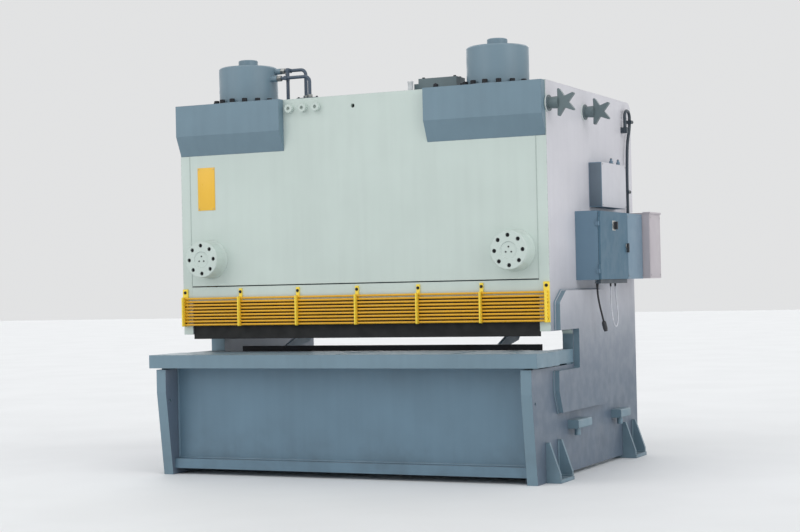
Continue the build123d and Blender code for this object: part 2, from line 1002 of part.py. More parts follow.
# Chute that lets the cut strip slide out at the rear

def drop_chute():
    """Bent plate from the bed's rear web down to the rear."""
    outline = [
        (web_depth[1], 630, 0),
        (web_depth[1], 712, 0),
        (1255, 238, 0),
        (1251, 229, 0),
        (web_depth[1] + 10, 696, 8),
        (web_depth[1] + 10, 630, 0),
    ]
    return side_panel(outline, -inner_half, inner_half)


# Lifting trunnions: flanged stub shafts on the right with star-shaped cleats that face the operator

trunnion_depths = [38.0, 815.0]
trunnion_z = 2636.0
trunnion_radius = 40.0
trunnion_flange_radius = 57.0
trunnion_flange_thick = 16.0
blanking_plug = (24.0, 8.0)
star_x = frame_half + 95.0
star_tip = 97.0
star_root = 41.0
star_thick = 34.0


def star_cleat(depth):
    """Star-shaped plate square to Y, whose inward arm is short and lies in the stub."""
    outline = []
    for i in range(10):
        angle = math.radians(180 + 36 * i)
        radius = star_tip if i % 2 == 0 else star_root
        if i == 0:
            radius = 60.0
        outline.append((star_x + radius * math.cos(angle), trunnion_z + radius * math.sin(angle)))
    plate = front_panel(outline, depth - star_thick / 2, depth + star_thick / 2)
    tips = []
    for edge in plate.edges().filter_by(Axis.Y):
        place = edge.center()
        if math.dist((place.X, place.Z), (star_x, trunnion_z)) > 90:
            tips.append(edge)
    return fillet(tips, 7)


def lifting_trunnions():
    """Two trunnions on the right and, on the left, the pads for two more with their plugs."""
    parts = []
    face = frame_half + trunnion_flange_thick
    for depth in trunnion_depths:
        flange = rod_x(trunnion_flange_radius, frame_half, face, depth, trunnion_z)
        stub = rod_x(trunnion_radius, frame_half, star_x - 30, depth, trunnion_z)
        parts.append(flange + stub + star_cleat(depth))
        hexagon = extrude(RegularPolygon(blanking_plug[0], 6), amount=blanking_plug[1] + 1)
        plug = Pos(-face - blanking_plug[1], front_y + depth, trunnion_z) * Rot(0, 90, 0) * hexagon
        parts.append(mirror(flange, about=Plane.YZ) + plug)
    return parts


# Feet: gusseted anchor plates on both side frames

foot_length = 270.0
foot_reach = 108.0
anchor_x = 1562.0
anchor_hole_radius = 18.0


def anchor_foot(depth):
    """Right foot with two triangular gussets and an anchor hole."""
    half = foot_length / 2
    base = block((frame_half, frame_half + foot_reach), (depth - half, depth + half), (0, 26))
    base -= rod_z(anchor_hole_radius, anchor_x, depth, -1, 27)
    for start in (depth - half, depth + half - 26):
        gusset = front_panel(
            [
                (frame_half, 26),
                (frame_half + foot_reach - 6, 26),
                (frame_half + foot_reach - 6, 60),
                (frame_half + 26, 280),
                (frame_half, 280),
            ],
            start,
            start + 26,
        )
        base += gusset
    return base


def anchor_feet():
    """Four feet and the four jacking lugs, as separate solids."""
    parts = []
    for depth in (anchor_front_depth, anchor_rear_depth):
        parts += both_sides(anchor_foot(depth))
    return parts + jacking_lugs()


# Jacking lugs: shelves on the side frames with screws below

lug_depths = [(305.0, 600.0), (1290.0, 1530.0)]
lug_z = (335.0, 398.0)
lug_reach = 82.0


def jacking_lugs():
    """Four lugs with their jacking screws, as separate solids."""
    parts = []
    for near, far in lug_depths:
        shelf = block((frame_half, frame_half + lug_reach), (near, far), lug_z)
        shelf = chamfer(shelf.edges().filter_by(Axis.Y).group_by(Axis.X)[-1], 8)
        screw = rod_z(22, frame_half + 44, near + 80, 285, lug_z[0])
        parts += both_sides(shelf + screw)
    return parts


# Electrical boxes on the right side frame

cabinet_depth = (560.0, 1210.0)
cabinet_z = (1392.0, 1894.0)
cabinet_x = (frame_half, frame_half + 172.0)
sheet = 3.0
door_x = (cabinet_x[1] + 1.0, cabinet_x[1] + 19.0)
hinge_axis = (door_x[0] + 8.0, cabinet_depth[0] - 9.0)
hinge_heights = [1470.0, 1816.0]
hinge_radius = 7.0
pin_radius = 3.0


def open_box(x, depth, z, wall, open_side):
    """Sheet-metal box, open towards one side of X."""
    outer = block(x, depth, z)
    inner_x = (x[0] + wall, x[1] + 1) if open_side > 0 else (x[0] - 1, x[1] - wall)
    inner = block(inner_x, (depth[0] + wall, depth[1] - wall), (z[0] + wall, z[1] - wall))
    return outer - inner


def control_cabinet():
    """Cabinet body with door rebate, hinge knuckles and pins, and two cable glands."""
    body = open_box(cabinet_x, cabinet_depth, cabinet_z, sheet, 1)
    for z in hinge_heights:
        knuckle = rod_z(hinge_radius, *hinge_axis, z - 32, z - 0.5)
        leaf = block(
            (cabinet_x[1] - 14, hinge_axis[0]),
            (hinge_axis[1] - 3, hinge_axis[1] + 3),
            (z - 32, z - 0.5),
        )
        wing = block(
            (cabinet_x[1] - 14, cabinet_x[1] - 4),
            (hinge_axis[1] - 3, cabinet_depth[0]),
            (z - 32, z - 0.5),
        )
        pin = rod_z(pin_radius, *hinge_axis, z - 1, z + 30)
        body += knuckle + leaf + wing + pin
    for x, depth, radius in cable_glands:
        body += rod_z(radius, x, depth, cabinet_z[0] - 28, cabinet_z[0])
    return body


def cabinet_door():
    """Door panel with a folded rim and hinge knuckles."""
    near = cabinet_depth[0] + 2
    far = cabinet_depth[1] - 2
    z = (cabinet_z[0] + 2, cabinet_z[1] - 2)
    panel = block(door_x, (near, far), z)
    panel -= block((door_x[0] - 1, door_x[1] - 3), (near + 12, far - 12), (z[0] + 12, z[1] - 12))
    panel = chamfer(panel.edges().filter_by(Axis.Z).group_by(Axis.X)[-1], 2)
    panel -= rod_x(latch_radius + 0.5, door_x[0] - 1, door_x[1] + 1, *latch_place)
    panel -= rod_x(switch_radius + 0.5, door_x[0] - 1, door_x[1] + 1, *switch_place)
    for z_hinge in hinge_heights:
        height = (z_hinge + 0.5, z_hinge + 32)
        knuckle = rod_z(hinge_radius, *hinge_axis, *height)
        leaf = block((hinge_axis[0], door_x[1]), (hinge_axis[1], near + 4), height)
        panel += knuckle + leaf
        panel -= rod_z(pin_radius + running_gap, *hinge_axis, z_hinge - 2, z_hinge + 34)
    return panel


latch_place = (1172.0, 1643.0)
latch_radius = 9.0
switch_place = (880.0, 1790.0)
switch_radius = 8.0


def door_latch():
    """Quarter-turn handle with its cam behind the door."""
    outer = door_x[1]
    spindle = rod_x(latch_radius, door_x[0] - 6, outer + 8, *latch_place)
    grip = block((outer + 8, outer + 22), (latch_place[0] - 10, latch_place[0] + 10), (1593, 1663))
    grip = fillet(grip.edges().filter_by(Axis.X), 6)
    cam = block(
        (door_x[0] - 12, door_x[0] - 6),
        (latch_place[0] - 14, latch_place[0] + 14),
        (latch_place[1] - 14, latch_place[1] + 40),
    )
    return spindle + grip + cam


def main_switch():
    """Rotary switch knob with its shaft through the door."""
    outer = door_x[1]
    shaft = rod_x(switch_radius, door_x[0] - 10, outer + 1, *switch_place)
    disc = rod_x(30, outer + 1, outer + 10, *switch_place)
    grip = block(
        (outer + 10, outer + 30),
        (switch_place[0] - 8, switch_place[0] + 8),
        (switch_place[1] - 29, switch_place[1] + 29),
    )
    return shaft + disc + fillet(grip.edges().filter_by(Axis.X), 5)


def switchgear_plate():
    """Mounting plate with rails of switchgear, inside the cabinet."""
    back = cabinet_x[0] + sheet
    plate = block((back + 8, back + 11), (cabinet_depth[0] + 30, cabinet_depth[1] - 30), (1430, 1860))
    for depth in (cabinet_depth[0] + 60, cabinet_depth[1] - 60):
        for z in (1460, 1830):
            plate += rod_x(8, back, back + 9, depth, z)
    for row, z in enumerate((1500, 1640, 1770)):
        rail = block((back + 11, back + 18), (cabinet_depth[0] + 50, cabinet_depth[1] - 50), (z - 17, z + 17))
        plate += rail
        count = 5 + row
        pitch = 520 / count
        for i in range(count):
            start = cabinet_depth[0] + 65 + i * pitch
            plate += block((back + 18, back + 84), (start, start + pitch - 12), (z - 42, z + 42))
    return plate


def power_box():
    """Deeper pale box at the rear end."""
    body = open_box((frame_half, frame_half + 240), (1613, 1908), (1396, 1906), sheet, -1)
    return body + block((frame_half + 190, frame_half + 248), (1609, 1912), (1898, 1912))


def terminal_boxes():
    """Box behind the cabinet and slim box above it with two glands, as separate solids."""
    rear_box = open_box((frame_half, frame_half + 184), (1216, 1606), (1394, 1892), sheet, -1)
    slim_box = open_box((frame_half, frame_half + 100), (895, 1480), (1935, 2268), sheet, -1)
    for depth in (1260, 1430):
        slim_box += rod_z(15, frame_half + 58, depth, 2268, 2296)
        slim_box += rod_z(9, frame_half + 58, depth, 2296, 2312)
    return [rear_box, slim_box]


# Conduit clipped to the side frame, from the upper corner to the rear box

conduit_radius = 12.0
conduit_x = frame_half + 30
conduit_route = [
    (conduit_x, 1716, 2590),
    (conduit_x, 1716, 2725),
    (conduit_x, 1842, 2725),
    (conduit_x, 1842, 2600),
    (conduit_x, 1768, 2470),
    (conduit_x, 1742, 2240),
    (conduit_x, 1742, 1906),
]


def conduit():
    """Conduit, its saddle clips and the elbow where it enters the side frame, as separate solids."""
    route = tube(conduit_route, conduit_radius)
    parts = [route]
    for depth, z in ((1740, 2080), (1842, 2640)):
        clip = block((frame_half, frame_half + 52), (depth - 24, depth + 24), (z - 12, z + 12))
        parts.append(clip - tube(conduit_route, conduit_radius))
    parts.append(block((frame_half, conduit_x + 20), (1696, 1736), (2545, 2590)))
    return parts


# Free cables below the cabinet

cable_glands = [(1600.0, 736.0, 13.0), (1590.0, 1080.0, 9.0), (1590.0, 1190.0, 9.0)]
gland_low = cabinet_z[0] - 28
cable_radius = 7.0
cable_route = [
    (1600, 736, gland_low),
    (1600, 736, gland_low - 52),
    (1603, 745, gland_low - 110),
    (1609, 762, gland_low - 172),
    (1616, 784, gland_low - 232),
    (1621, 800, gland_low - 278),
]
loop_radius = 4.5
loop_route = [
    (1590, 1080, gland_low),
    (1590, 1080, gland_low - 50),
    (1592, 1071, gland_low - 108),
    (1596, 1064, gland_low - 166),
    (1600, 1065, gland_low - 222),
    (1604, 1077, gland_low - 274),
    (1606, 1103, gland_low - 315),
    (1606, 1146, gland_low - 331),
    (1604, 1187, gland_low - 308),
    (1601, 1209, gland_low - 264),
    (1597, 1217, gland_low - 210),
    (1593, 1211, gland_low - 154),
    (1591, 1198, gland_low - 100),
    (1590, 1190, gland_low - 48),
    (1590, 1190, gland_low),
]


def cable_connector():
    """Round plug on the end of the hanging cable, in line with its last run."""
    end = Vector(cable_route[-1][0], front_y + cable_route[-1][1], cable_route[-1][2])
    before = Vector(cable_route[-2][0], front_y + cable_route[-2][1], cable_route[-2][2])
    place = Plane(origin=end, z_dir=end - before)
    profile = [(0, 0), (11, 0), (17, 12), (17, 62), (14, 66), (14, 76), (0, 76)]
    return place * revolve(make_face(Plane.XZ * Polyline(*profile, close=True)), Axis.Z)


def all_nodes():
    """Every node by name: one solid, or a list of separate solids."""
    right_frame = side_frame()
    nodes = {
        "side_frame_right": right_frame,
        "side_frame_left": mirror(right_frame, about=Plane.YZ),
        "cheek_plates": both_sides(cheek_plate()),
        "bed": bed(),
        "table_slab": table_slab(),
        "lower_blade": lower_blade(),
        "upper_blade": upper_blade(),
        "knife_beam": knife_beam(),
        "ram_guides": ram_guides(),
        "front_beam": front_beam(),
        "thrust_housings": [thrust_housing(-thrust_x), thrust_housing(thrust_x)],
        "cap_screws": thrust_screws() + flange_screws(),
        "cylinder_housings": both_sides(cylinder_housing()),
        "main_cylinders": [main_cylinder_left(), main_cylinder_right()],
        "piston_rods": piston_rods(),
        "crown_plate": crown_plate(),
        "hydraulic_pipes": hydraulic_pipes(),
        "hold_down_beam": hold_down_beam(),
        "hold_down_apron": hold_down_apron(),
        "hold_down_cartridges": hold_down_cartridges(),
        "guard_rails": guard_rails(),
        "guard_brackets": guard_brackets(),
        "tie_beams": tie_beams(),
        "oil_tank": oil_tank(),
        "tank_lid": tank_lid(),
        "pump_motor": pump_motor(),
        "bell_housing": bell_housing(),
        "shaft_coupling": shaft_coupling(),
        "hydraulic_pump": hydraulic_pump(),
        "valve_blocks": [valve_block(), crown_manifold()],
        "tank_fittings": tank_fittings(),
        "gauge_guide_bars": gauge_guide_bars(),
        "gauge_drive": gauge_drive(),
        "lead_screw_left": lead_screw(-1),
        "lead_screw_right": lead_screw(1),
        "cross_shaft": cross_shaft(),
        "gauge_carriages": gauge_carriages(),
        "gauge_bar": gauge_bar(),
        "drop_chute": drop_chute(),
        "lifting_trunnions": lifting_trunnions(),
        "anchor_feet": anchor_feet(),
        "control_cabinet": control_cabinet(),
        "cabinet_door": cabinet_door(),
        "door_latch": door_latch(),
        "main_switch": main_switch(),
        "switchgear_plate": switchgear_plate(),
        "terminal_boxes": terminal_boxes(),
        "power_box": power_box(),
        "conduit": conduit(),
        "hanging_cable": tube(cable_route, cable_radius),
        "wire_loop": tube(loop_route, loop_radius),
        "cable_connector": cable_connector(),
    }
    for number, x in enumerate(plunger_positions, start=1):
        nodes[f"hold_down_plunger_{number}"] = hold_down_plunger(x)
    return nodes


def main():
    """Write each node to its own file and print the cables' bend radii."""
    os.makedirs("parts", exist_ok=True)
    nodes = all_nodes()
    for name, shape in nodes.items():
        solid = Compound(children=list(shape)) if isinstance(shape, list) else shape
        export_step(solid, f"parts/{name}.step")
    routes = {"hanging cable": cable_route, "wire loop": loop_route, "conduit": conduit_route}
    for name, route in routes.items():
        print(name, "bend radii", [round(radius) for radius in route_radii(route)])
    print(len(nodes), "nodes")


main()
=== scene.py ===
"""Looks of a hydraulic guillotine plate shear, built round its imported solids.

Lengths are metres in the row frame: +X to the right seen from the front, -Y to the front, +Z up.
"""

import logging
import math
from dataclasses import dataclass
from enum import Enum
from functools import cache
from itertools import product
from typing import Callable, Iterable, Optional, Sequence

import bmesh
import bpy
from mathutils import Matrix, Vector


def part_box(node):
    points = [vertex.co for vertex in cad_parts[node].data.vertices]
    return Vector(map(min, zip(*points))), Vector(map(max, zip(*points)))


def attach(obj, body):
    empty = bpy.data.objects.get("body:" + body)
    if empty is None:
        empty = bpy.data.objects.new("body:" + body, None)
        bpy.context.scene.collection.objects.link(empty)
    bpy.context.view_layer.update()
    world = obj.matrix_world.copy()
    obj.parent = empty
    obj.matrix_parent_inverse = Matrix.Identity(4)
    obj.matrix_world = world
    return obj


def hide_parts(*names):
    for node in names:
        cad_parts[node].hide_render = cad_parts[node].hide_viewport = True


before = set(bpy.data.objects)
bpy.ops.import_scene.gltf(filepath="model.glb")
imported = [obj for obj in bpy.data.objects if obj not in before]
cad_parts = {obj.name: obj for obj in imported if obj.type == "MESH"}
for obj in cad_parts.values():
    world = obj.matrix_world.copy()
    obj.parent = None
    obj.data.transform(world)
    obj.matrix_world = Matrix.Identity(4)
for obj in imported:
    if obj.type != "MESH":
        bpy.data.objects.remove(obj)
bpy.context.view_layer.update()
log = logging.getLogger("plate_shear")

Colour = tuple[float, float, float]
Names = tuple[tuple[str, ...], ...]
Pair = tuple[float, float]
Point = tuple[float, float, float]
Run = tuple[Point, Point, float]
Screw = tuple[float, float, int]
Bolt = tuple[float, float, float]
Socket = bpy.types.NodeSocket

X_AXIS, Y_AXIS, Z_AXIS = (Vector(axis) for axis in ((1, 0, 0), (0, 1, 0), (0, 0, 1)))
SIDES = (-1, 1)
BODY = "frame"
WEAR_SAMPLES = 6
ROUND_SAMPLES = 4
EDGE_TURN = (0.995, 0.8)
PATCHES = (0.3, 0.7)


def srgb(red: int, green: int, blue: int) -> Colour:
    """Turn a colour of 0 to 255 as a screen shows it into linear shares."""
    shares = [value / 255 for value in (red, green, blue)]
    return tuple(s / 12.92 if s <= 0.04045 else ((s + 0.055) / 1.055) ** 2.4 for s in shares)


def inset(ends: Pair, by: float) -> Pair:
    """Move both ends of a range inwards."""
    return ends[0] + by, ends[1] - by


def spaced(low: float, high: float, count: int) -> list[float]:
    """Give evenly spaced values from low to high, both included."""
    return [low + (high - low) * i / (count - 1) for i in range(count)]


def turns(count: int) -> list[float]:
    """Give evenly spaced angles over a full turn."""
    return [math.tau * i / count for i in range(count)]


def turn_to(direction: Vector, place: Sequence[float]) -> Matrix:
    """Give the transform that takes local +Z to a direction and the origin to a place."""
    turn = Z_AXIS.rotation_difference(Vector(direction)).to_matrix().to_4x4()
    return Matrix.Translation(Vector(place)) @ turn


def seats(facing: Vector, *values: Iterable[float]) -> list[Matrix]:
    """Give a seat at each meeting of the values along x, y and z."""
    return [turn_to(facing, place) for place in product(*values)]


def spun(base: Matrix, angles: Iterable[float]) -> list[Matrix]:
    """Give a seat turned by each angle about its own axis."""
    return [base @ Matrix.Rotation(angle, 4, "Z") for angle in angles]


def circle(
    centre: Sequence[float], facing: Vector, radius: float, count: int, turn: float = 0.0
) -> list[Matrix]:
    """Give evenly spaced seats round a circle.

    Args:
        centre: Middle of the circle.
        facing: Where the seats face.
        radius: Radius of the circle.
        count: Number of seats.
        turn: Angle of the first seat in degrees.

    Returns:
        The transform of each seat.
    """
    base, first = turn_to(facing, centre), math.radians(turn)
    ways = [(math.cos(first + a), math.sin(first + a), 0) for a in turns(count)]
    return [base @ Matrix.Translation(radius * Vector(way)) for way in ways]


def rounded(corners: Sequence[tuple[Point, float]], steps: int = 5) -> list[Vector]:
    """Give a closed route with arcs at its corners.

    Args:
        corners: Each corner and the radius of its arc.
        steps: Steps of an arc.

    Returns:
        Points of the route.
    """
    route = []
    for i, (corner, radius) in enumerate(corners):
        here = Vector(corner)
        if not radius:
            route.append(here)
            continue
        before = (Vector(corners[i - 1][0]) - here).normalized()
        after = (Vector(corners[(i + 1) % len(corners)][0]) - here).normalized()
        half = before.angle(after) / 2
        centre = here + (before + after).normalized() * radius / math.sin(half)
        reach = radius / math.tan(half)
        start = (here + before * reach - centre).normalized()
        end = (here + after * reach - centre).normalized()
        route += [centre + start.slerp(end, k / steps) * radius for k in range(steps + 1)]
    return route


@dataclass(frozen=True)
class Span:
    """Box of a node in metres."""

    low: Vector
    high: Vector

    @classmethod
    def of(cls, node: str) -> "Span":
        """Read a node's box from the frame."""
        return cls(*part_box(node))

    @property
    def middle(self) -> Vector:
        """Centre of the box."""
        return (self.low + self.high) / 2

    def holds(self, point: Vector) -> bool:
        """Tell whether a point lies inside the box."""
        return all(self.low[i] < point[i] < self.high[i] for i in range(3))

    def half(self, axis: int) -> float:
        """Give half the box's size along an axis."""
        return (self.high[axis] - self.low[axis]) / 2

    def ends(self, axis: int, by: float = 0.0) -> Pair:
        """Give both ends along an axis, moved inwards."""
        return inset((self.low[axis], self.high[axis]), by)


class Graph:
    """Node tree with short calls to add and join nodes."""

    def __init__(self, tree: bpy.types.NodeTree) -> None:
        """Start from an empty tree."""
        self.tree = tree
        tree.nodes.clear()

    def feed(self, target: Socket, value: object) -> None:
        """Join a socket to an input, or set the input's own value.

        Args:
            target: The input.
            value: A socket, a number, a vector or a colour.
        """
        if isinstance(value, Socket):
            self.tree.links.new(value, target)
        else:
            target.default_value = (*value, 1.0) if target.type == "RGBA" else value

    def add(
        self, kind: str, inputs: Optional[dict[str | int, object]] = None, **settings: object
    ) -> bpy.types.Node:
        """Add a node.

        Args:
            kind: The node's type.
            inputs: What each of its inputs is fed.
            **settings: Its properties.

        Returns:
            The node.
        """
        node = self.tree.nodes.new("ShaderNode" + kind)
        for key, value in settings.items():
            setattr(node, key, value)
        for key, value in (inputs or {}).items():
            self.feed(node.inputs[key], value)
        return node

    def math(self, operation: str, *values: object) -> Socket:
        """Join numbers by an operation."""
        return self.add("Math", dict(enumerate(values)), operation=operation).outputs[0]


class Surface(Graph):
    """Nodes of one material round a Principled shader, on object coordinates."""

    def __init__(self, name: str) -> None:
        """Start a material.

        Args:
            name: The material's name.
        """
        self.material = bpy.data.materials.new(name)
        self.material.use_nodes = True
        super().__init__(self.material.node_tree)
        self.shader = self.add("BsdfPrincipled")
        self.add("OutputMaterial", {"Surface": self.shader.outputs["BSDF"]})
        self.place = self.add("TexCoord").outputs["Object"]

    def stretch(self, scale: Point) -> Socket:
        """Scale object coordinates along each axis."""
        return self.add("Mapping", {"Vector": self.place, "Scale": scale}).outputs["Vector"]

    def noise(
        self, scale: float, detail: float, vector: Optional[Socket] = None, rough: float = 0.5
    ) -> Socket:
        """Add noise.

        Args:
            scale: Waves to the metre.
            detail: Octaves.
            vector: Coordinates, or None for object coordinates.
            rough: Share of the finer octaves.

        Returns:
            The noise from 0 to 1.
        """
        vector = vector or self.place
        inputs = {"Vector": vector, "Scale": scale, "Detail": detail, "Roughness": rough}
        return self.add("TexNoise", inputs).outputs["Fac"]

    def ramp(
        self, value: Socket, low: float, high: float, bottom: float = 0.0, top: float = 1.0
    ) -> Socket:
        """Map a range smoothly onto another.

        Args:
            value: What is mapped.
            low: Start of its range.
            high: End of its range.
            bottom: Result at the start.
            top: Result at the end.

        Returns:
            The mapped value.
        """
        names = ("Value", "From Min", "From Max", "To Min", "To Max")
        inputs = dict(zip(names, (value, low, high, bottom, top)))
        return self.add("MapRange", inputs, interpolation_type="SMOOTHSTEP").outputs["Result"]

    def drift(self, scale: float, detail: float, bottom: float, top: float) -> Socket:
        """Let a value drift between two ends in soft patches."""
        return self.ramp(self.noise(scale, detail), *PATCHES, bottom, top)

    def times(self, first: object, second: object) -> Socket:
        """Multiply two numbers."""
        return self.math("MULTIPLY", first, second)

    def mix(self, share: object, first: object, second: object, blend: str = "MIX") -> Socket:
        """Mix two colours by a share."""
        inputs = {"Factor": share, "A": first, "B": second}
        return self.add("Mix", inputs, data_type="RGBA", blend_type=blend).outputs["Result"]

    def axis(self, vector: Socket, name: str) -> Socket:
        """Give one component of a vector by the name X, Y or Z."""
        return self.add("SeparateXYZ", {0: vector}).outputs[name]

    def facing(self, name: str) -> Socket:
        """Give a component of the true face normal in object space, the row frame at rest.

        Args:
            name: The component, X, Y or Z.

        Returns:
            The component.
        """
        face = self.add("NewGeometry").outputs["True Normal"]
        spaces = {"vector_type": "NORMAL", "convert_from": "WORLD", "convert_to": "OBJECT"}
        return self.axis(self.add("VectorTransform", {0: face}, **spaces).outputs[0], name)

    def softened(self, radius: float, samples: int) -> Socket:
        """Give the normal that the surface has with its edges rounded by a radius."""
        return self.add("Bevel", {"Radius": radius}, samples=samples).outputs["Normal"]

    def edges(self, radius: float) -> Socket:
        """Mark where the surface turns.

        Args:
            radius: Distance from an edge that the mark reaches.

        Returns:
            A mark from 0 on flats to 1 at edges.
        """
        flat = self.add("NewGeometry").outputs["Normal"]
        normals = {0: self.softened(radius, WEAR_SAMPLES), 1: flat}
        dot = self.add("VectorMath", normals, operation="DOT_PRODUCT").outputs["Value"]
        return self.ramp(dot, *EDGE_TURN)

    def coat(self, colour: Socket, roughness: Socket) -> None:
        """Give the shader its colour and roughness."""
        self.feed(self.shader.inputs["Base Color"], colour)
        self.feed(self.shader.inputs["Roughness"], roughness)

    def relief(self, height: Socket, depth: float, rounding: float) -> None:
        """Raise the surface, over rounded edges.

        Args:
            height: Height from 0 to 1.
            depth: How far the greatest height stands proud.
            rounding: Radius of the edges.
        """
        normal = self.softened(rounding, ROUND_SAMPLES)
        inputs = {"Distance": depth, "Height": height, "Normal": normal}
        self.feed(self.shader.inputs["Normal"], self.add("Bump", inputs).outputs["Normal"])


class Tone(Enum):
    """How a paint's colour changes over the machine; the side and cheek tones paint light and shade
    as a gradient with height.
    """

    EVEN = "even"
    SIDE = "side"
    CHEEK = "cheek"


PALE_GREEN = srgb(199, 212, 206)
BLUE_GREY = srgb(112, 137, 151)
DEEP_BLUE = srgb(100, 128, 146)
# The sides' pale top tone and dark low tone are painted light from above and painted shade towards
# the floor.
SIDE_TOP_LIT = srgb(209, 208, 214)
SIDE_LOW_SHADED = srgb(94, 108, 124)
BARE = srgb(92, 92, 94)
DUST = srgb(168, 166, 160)
FLOOR_DARK = srgb(46, 44, 42)
OIL_FILM = srgb(96, 78, 60)
ABOVE_OIL = srgb(214, 216, 210)
OIL_LEVEL = 1.862
DARKENING_HEIGHT = 0.55
SIDE_LIGHT_HEIGHTS = (0.35, 1.7)
GREEN_FROM = (1.0, 1.02)
SIDE_FACING = (0.5, 0.7)
TOP_FACING = (0.6, 0.95)
RUN_MARKS = (16, 16, 1.1)
PAINT_ROUNDING = 0.003
METAL_ROUNDING = 0.0012
PLASTIC_ROUNDING = 0.0008


@dataclass(frozen=True)
class Finish:
    """What every finish has: a name, a colour and nodes that show it."""

    name: str
    colour: Colour

    def cover(self, surface: Surface) -> None:
        """Give the surface its looks."""

    def build(self) -> bpy.types.Material:
        """Make the material.

        Returns:
            The material.
        """
        surface = Surface(self.name)
        self.cover(surface)
        return surface.material


@dataclass(frozen=True)
class Paint(Finish):
    """Sprayed paint on plate and castings, with worn edges, dust and darker patches near the floor.
    """

    roughness: float = 0.4
    cloud: float = 0.05
    wear: float = 0.3
    low_darkening: float = 0.3
    peel: float = 0.00006
    waves: float = 0.0
    tone: Tone = Tone.EVEN
    worn: float = 0.012

    def base(self, surface: Surface) -> Colour | Socket:
        """Give the clean paint's colour, which on the side faces changes with height as painted
        light: pale high up, with painted shade darker towards the floor.

        Args:
            surface: The material's nodes.

        Returns:
            A colour or a colour socket.
        """
        if self.tone is Tone.EVEN:
            return self.colour
        height = surface.axis(surface.place, "Z")
        lifted = surface.math("ADD", height, surface.drift(1.7, 2.0, -0.06, 0.06))
        # Side faces pale upwards and darken downwards: painted light and painted shade by height.
        light_rise = surface.math("POWER", surface.ramp(lifted, *SIDE_LIGHT_HEIGHTS), 1.5)
        rest = BLUE_GREY
        if self.tone is Tone.SIDE:
            rest = surface.mix(surface.ramp(height, *GREEN_FROM), BLUE_GREY, PALE_GREEN)
        flat = surface.ramp(surface.math("ABSOLUTE", surface.facing("X")), *SIDE_FACING)
        return surface.mix(flat, rest, surface.mix(light_rise, SIDE_LOW_SHADED, SIDE_TOP_LIT))

    def cover(self, surface: Surface) -> None:
        """Spray the paint, then lay dust, darker patches near the floor and bare edges over it.

        Args:
            surface: The material's nodes.
        """
        times, ramp, noise = surface.times, surface.ramp, surface.noise
        cloud = surface.drift(1.9, 4.0, -self.cloud, self.cloud)
        streaks = ramp(noise(1.0, 4.0, surface.stretch(RUN_MARKS)), 0.35, 0.75, 0.0, self.cloud)
        shade = surface.math("SUBTRACT", surface.math("ADD", cloud, 1.0), streaks)
        settled = ramp(surface.facing("Z"), *TOP_FACING)
        dust = times(settled, ramp(noise(3, 5), 0.25, 0.8, 0.06, 0.22))
        # Darker in noisy patches towards the floor.
        near_floor = ramp(surface.axis(surface.place, "Z"), DARKENING_HEIGHT, 0.0)
        floor_darkening = times(near_floor, ramp(noise(5, 6), 0.38, 0.72, 0.1, 1.0))
        chips = times(surface.edges(self.worn), ramp(noise(38, 5), 0.45, 0.62))
        colour = surface.mix(1.0, self.base(surface), shade, "MULTIPLY")
        colour = surface.mix(dust, colour, DUST)
        colour = surface.mix(times(floor_darkening, self.low_darkening), colour, FLOOR_DARK)
        colour = surface.mix(times(chips, self.wear), colour, BARE)
        rough = surface.drift(11, 4, self.roughness - 0.06, self.roughness + 0.08)
        surface.coat(colour, surface.math("ADD", rough, times(dust, 0.5)))
        height = noise(210, 2)
        if self.waves:
            height = surface.math("MULTIPLY_ADD", noise(3.0, 2), self.waves / self.peel, height)
        surface.relief(height, self.peel, PAINT_ROUNDING)


@dataclass(frozen=True)
class SheetPaint(Paint):
    """Smooth thin paint on folded sheet, worn only at its very edges."""

    roughness: float = 0.46
    cloud: float = 0.025
    wear: float = 0.15
    low_darkening: float = 0.15
    peel: float = 0.0001
    worn: float = 0.0012


@dataclass(frozen=True)
class Metal(Finish):
    """Bare machined metal with the marks of its making and a film of oil."""

    roughness: float = 0.34
    grain: Point = (5, 320, 320)
    stain: float = 0.2
    relief: float = 0.00005

    def cover(self, surface: Surface) -> None:
        """Mark the metal along its grain and stain it.

        Args:
            surface: The material's nodes.
        """
        marks = surface.noise(1.0, 5.0, surface.stretch(self.grain), 0.65)
        patches = surface.ramp(surface.noise(6, 5), 0.42, 0.75)
        darker = tuple(0.62 * share for share in self.colour)
        colour = surface.mix(surface.ramp(marks, 0.3, 0.75), darker, self.colour)
        colour = surface.mix(surface.times(patches, self.stain), colour, OIL_FILM)
        rough = surface.ramp(marks, 0.2, 0.8, self.roughness - 0.08, self.roughness + 0.1)
        surface.coat(colour, surface.math("ADD", rough, surface.times(patches, 0.12)))
        surface.shader.inputs["Metallic"].default_value = 1.0
        surface.relief(marks, self.relief, METAL_ROUNDING)


@dataclass(frozen=True)
class Polymer(Finish):
    """Moulded plastic or rubber."""

    roughness: float = 0.5
    texture: float = 400.0
    relief: float = 0.00008

    def cover(self, surface: Surface) -> None:
        """Let the colour and gloss vary a little over a fine texture.

        Args:
            surface: The material's nodes.
        """
        colour = surface.mix(1.0, self.colour, surface.drift(23, 4, 0.86, 1.1), "MULTIPLY")
        surface.coat(colour, surface.drift(35, 4, self.roughness - 0.06, self.roughness + 0.1))
        surface.relief(surface.noise(self.texture, 3), self.relief, PLASTIC_ROUNDING)


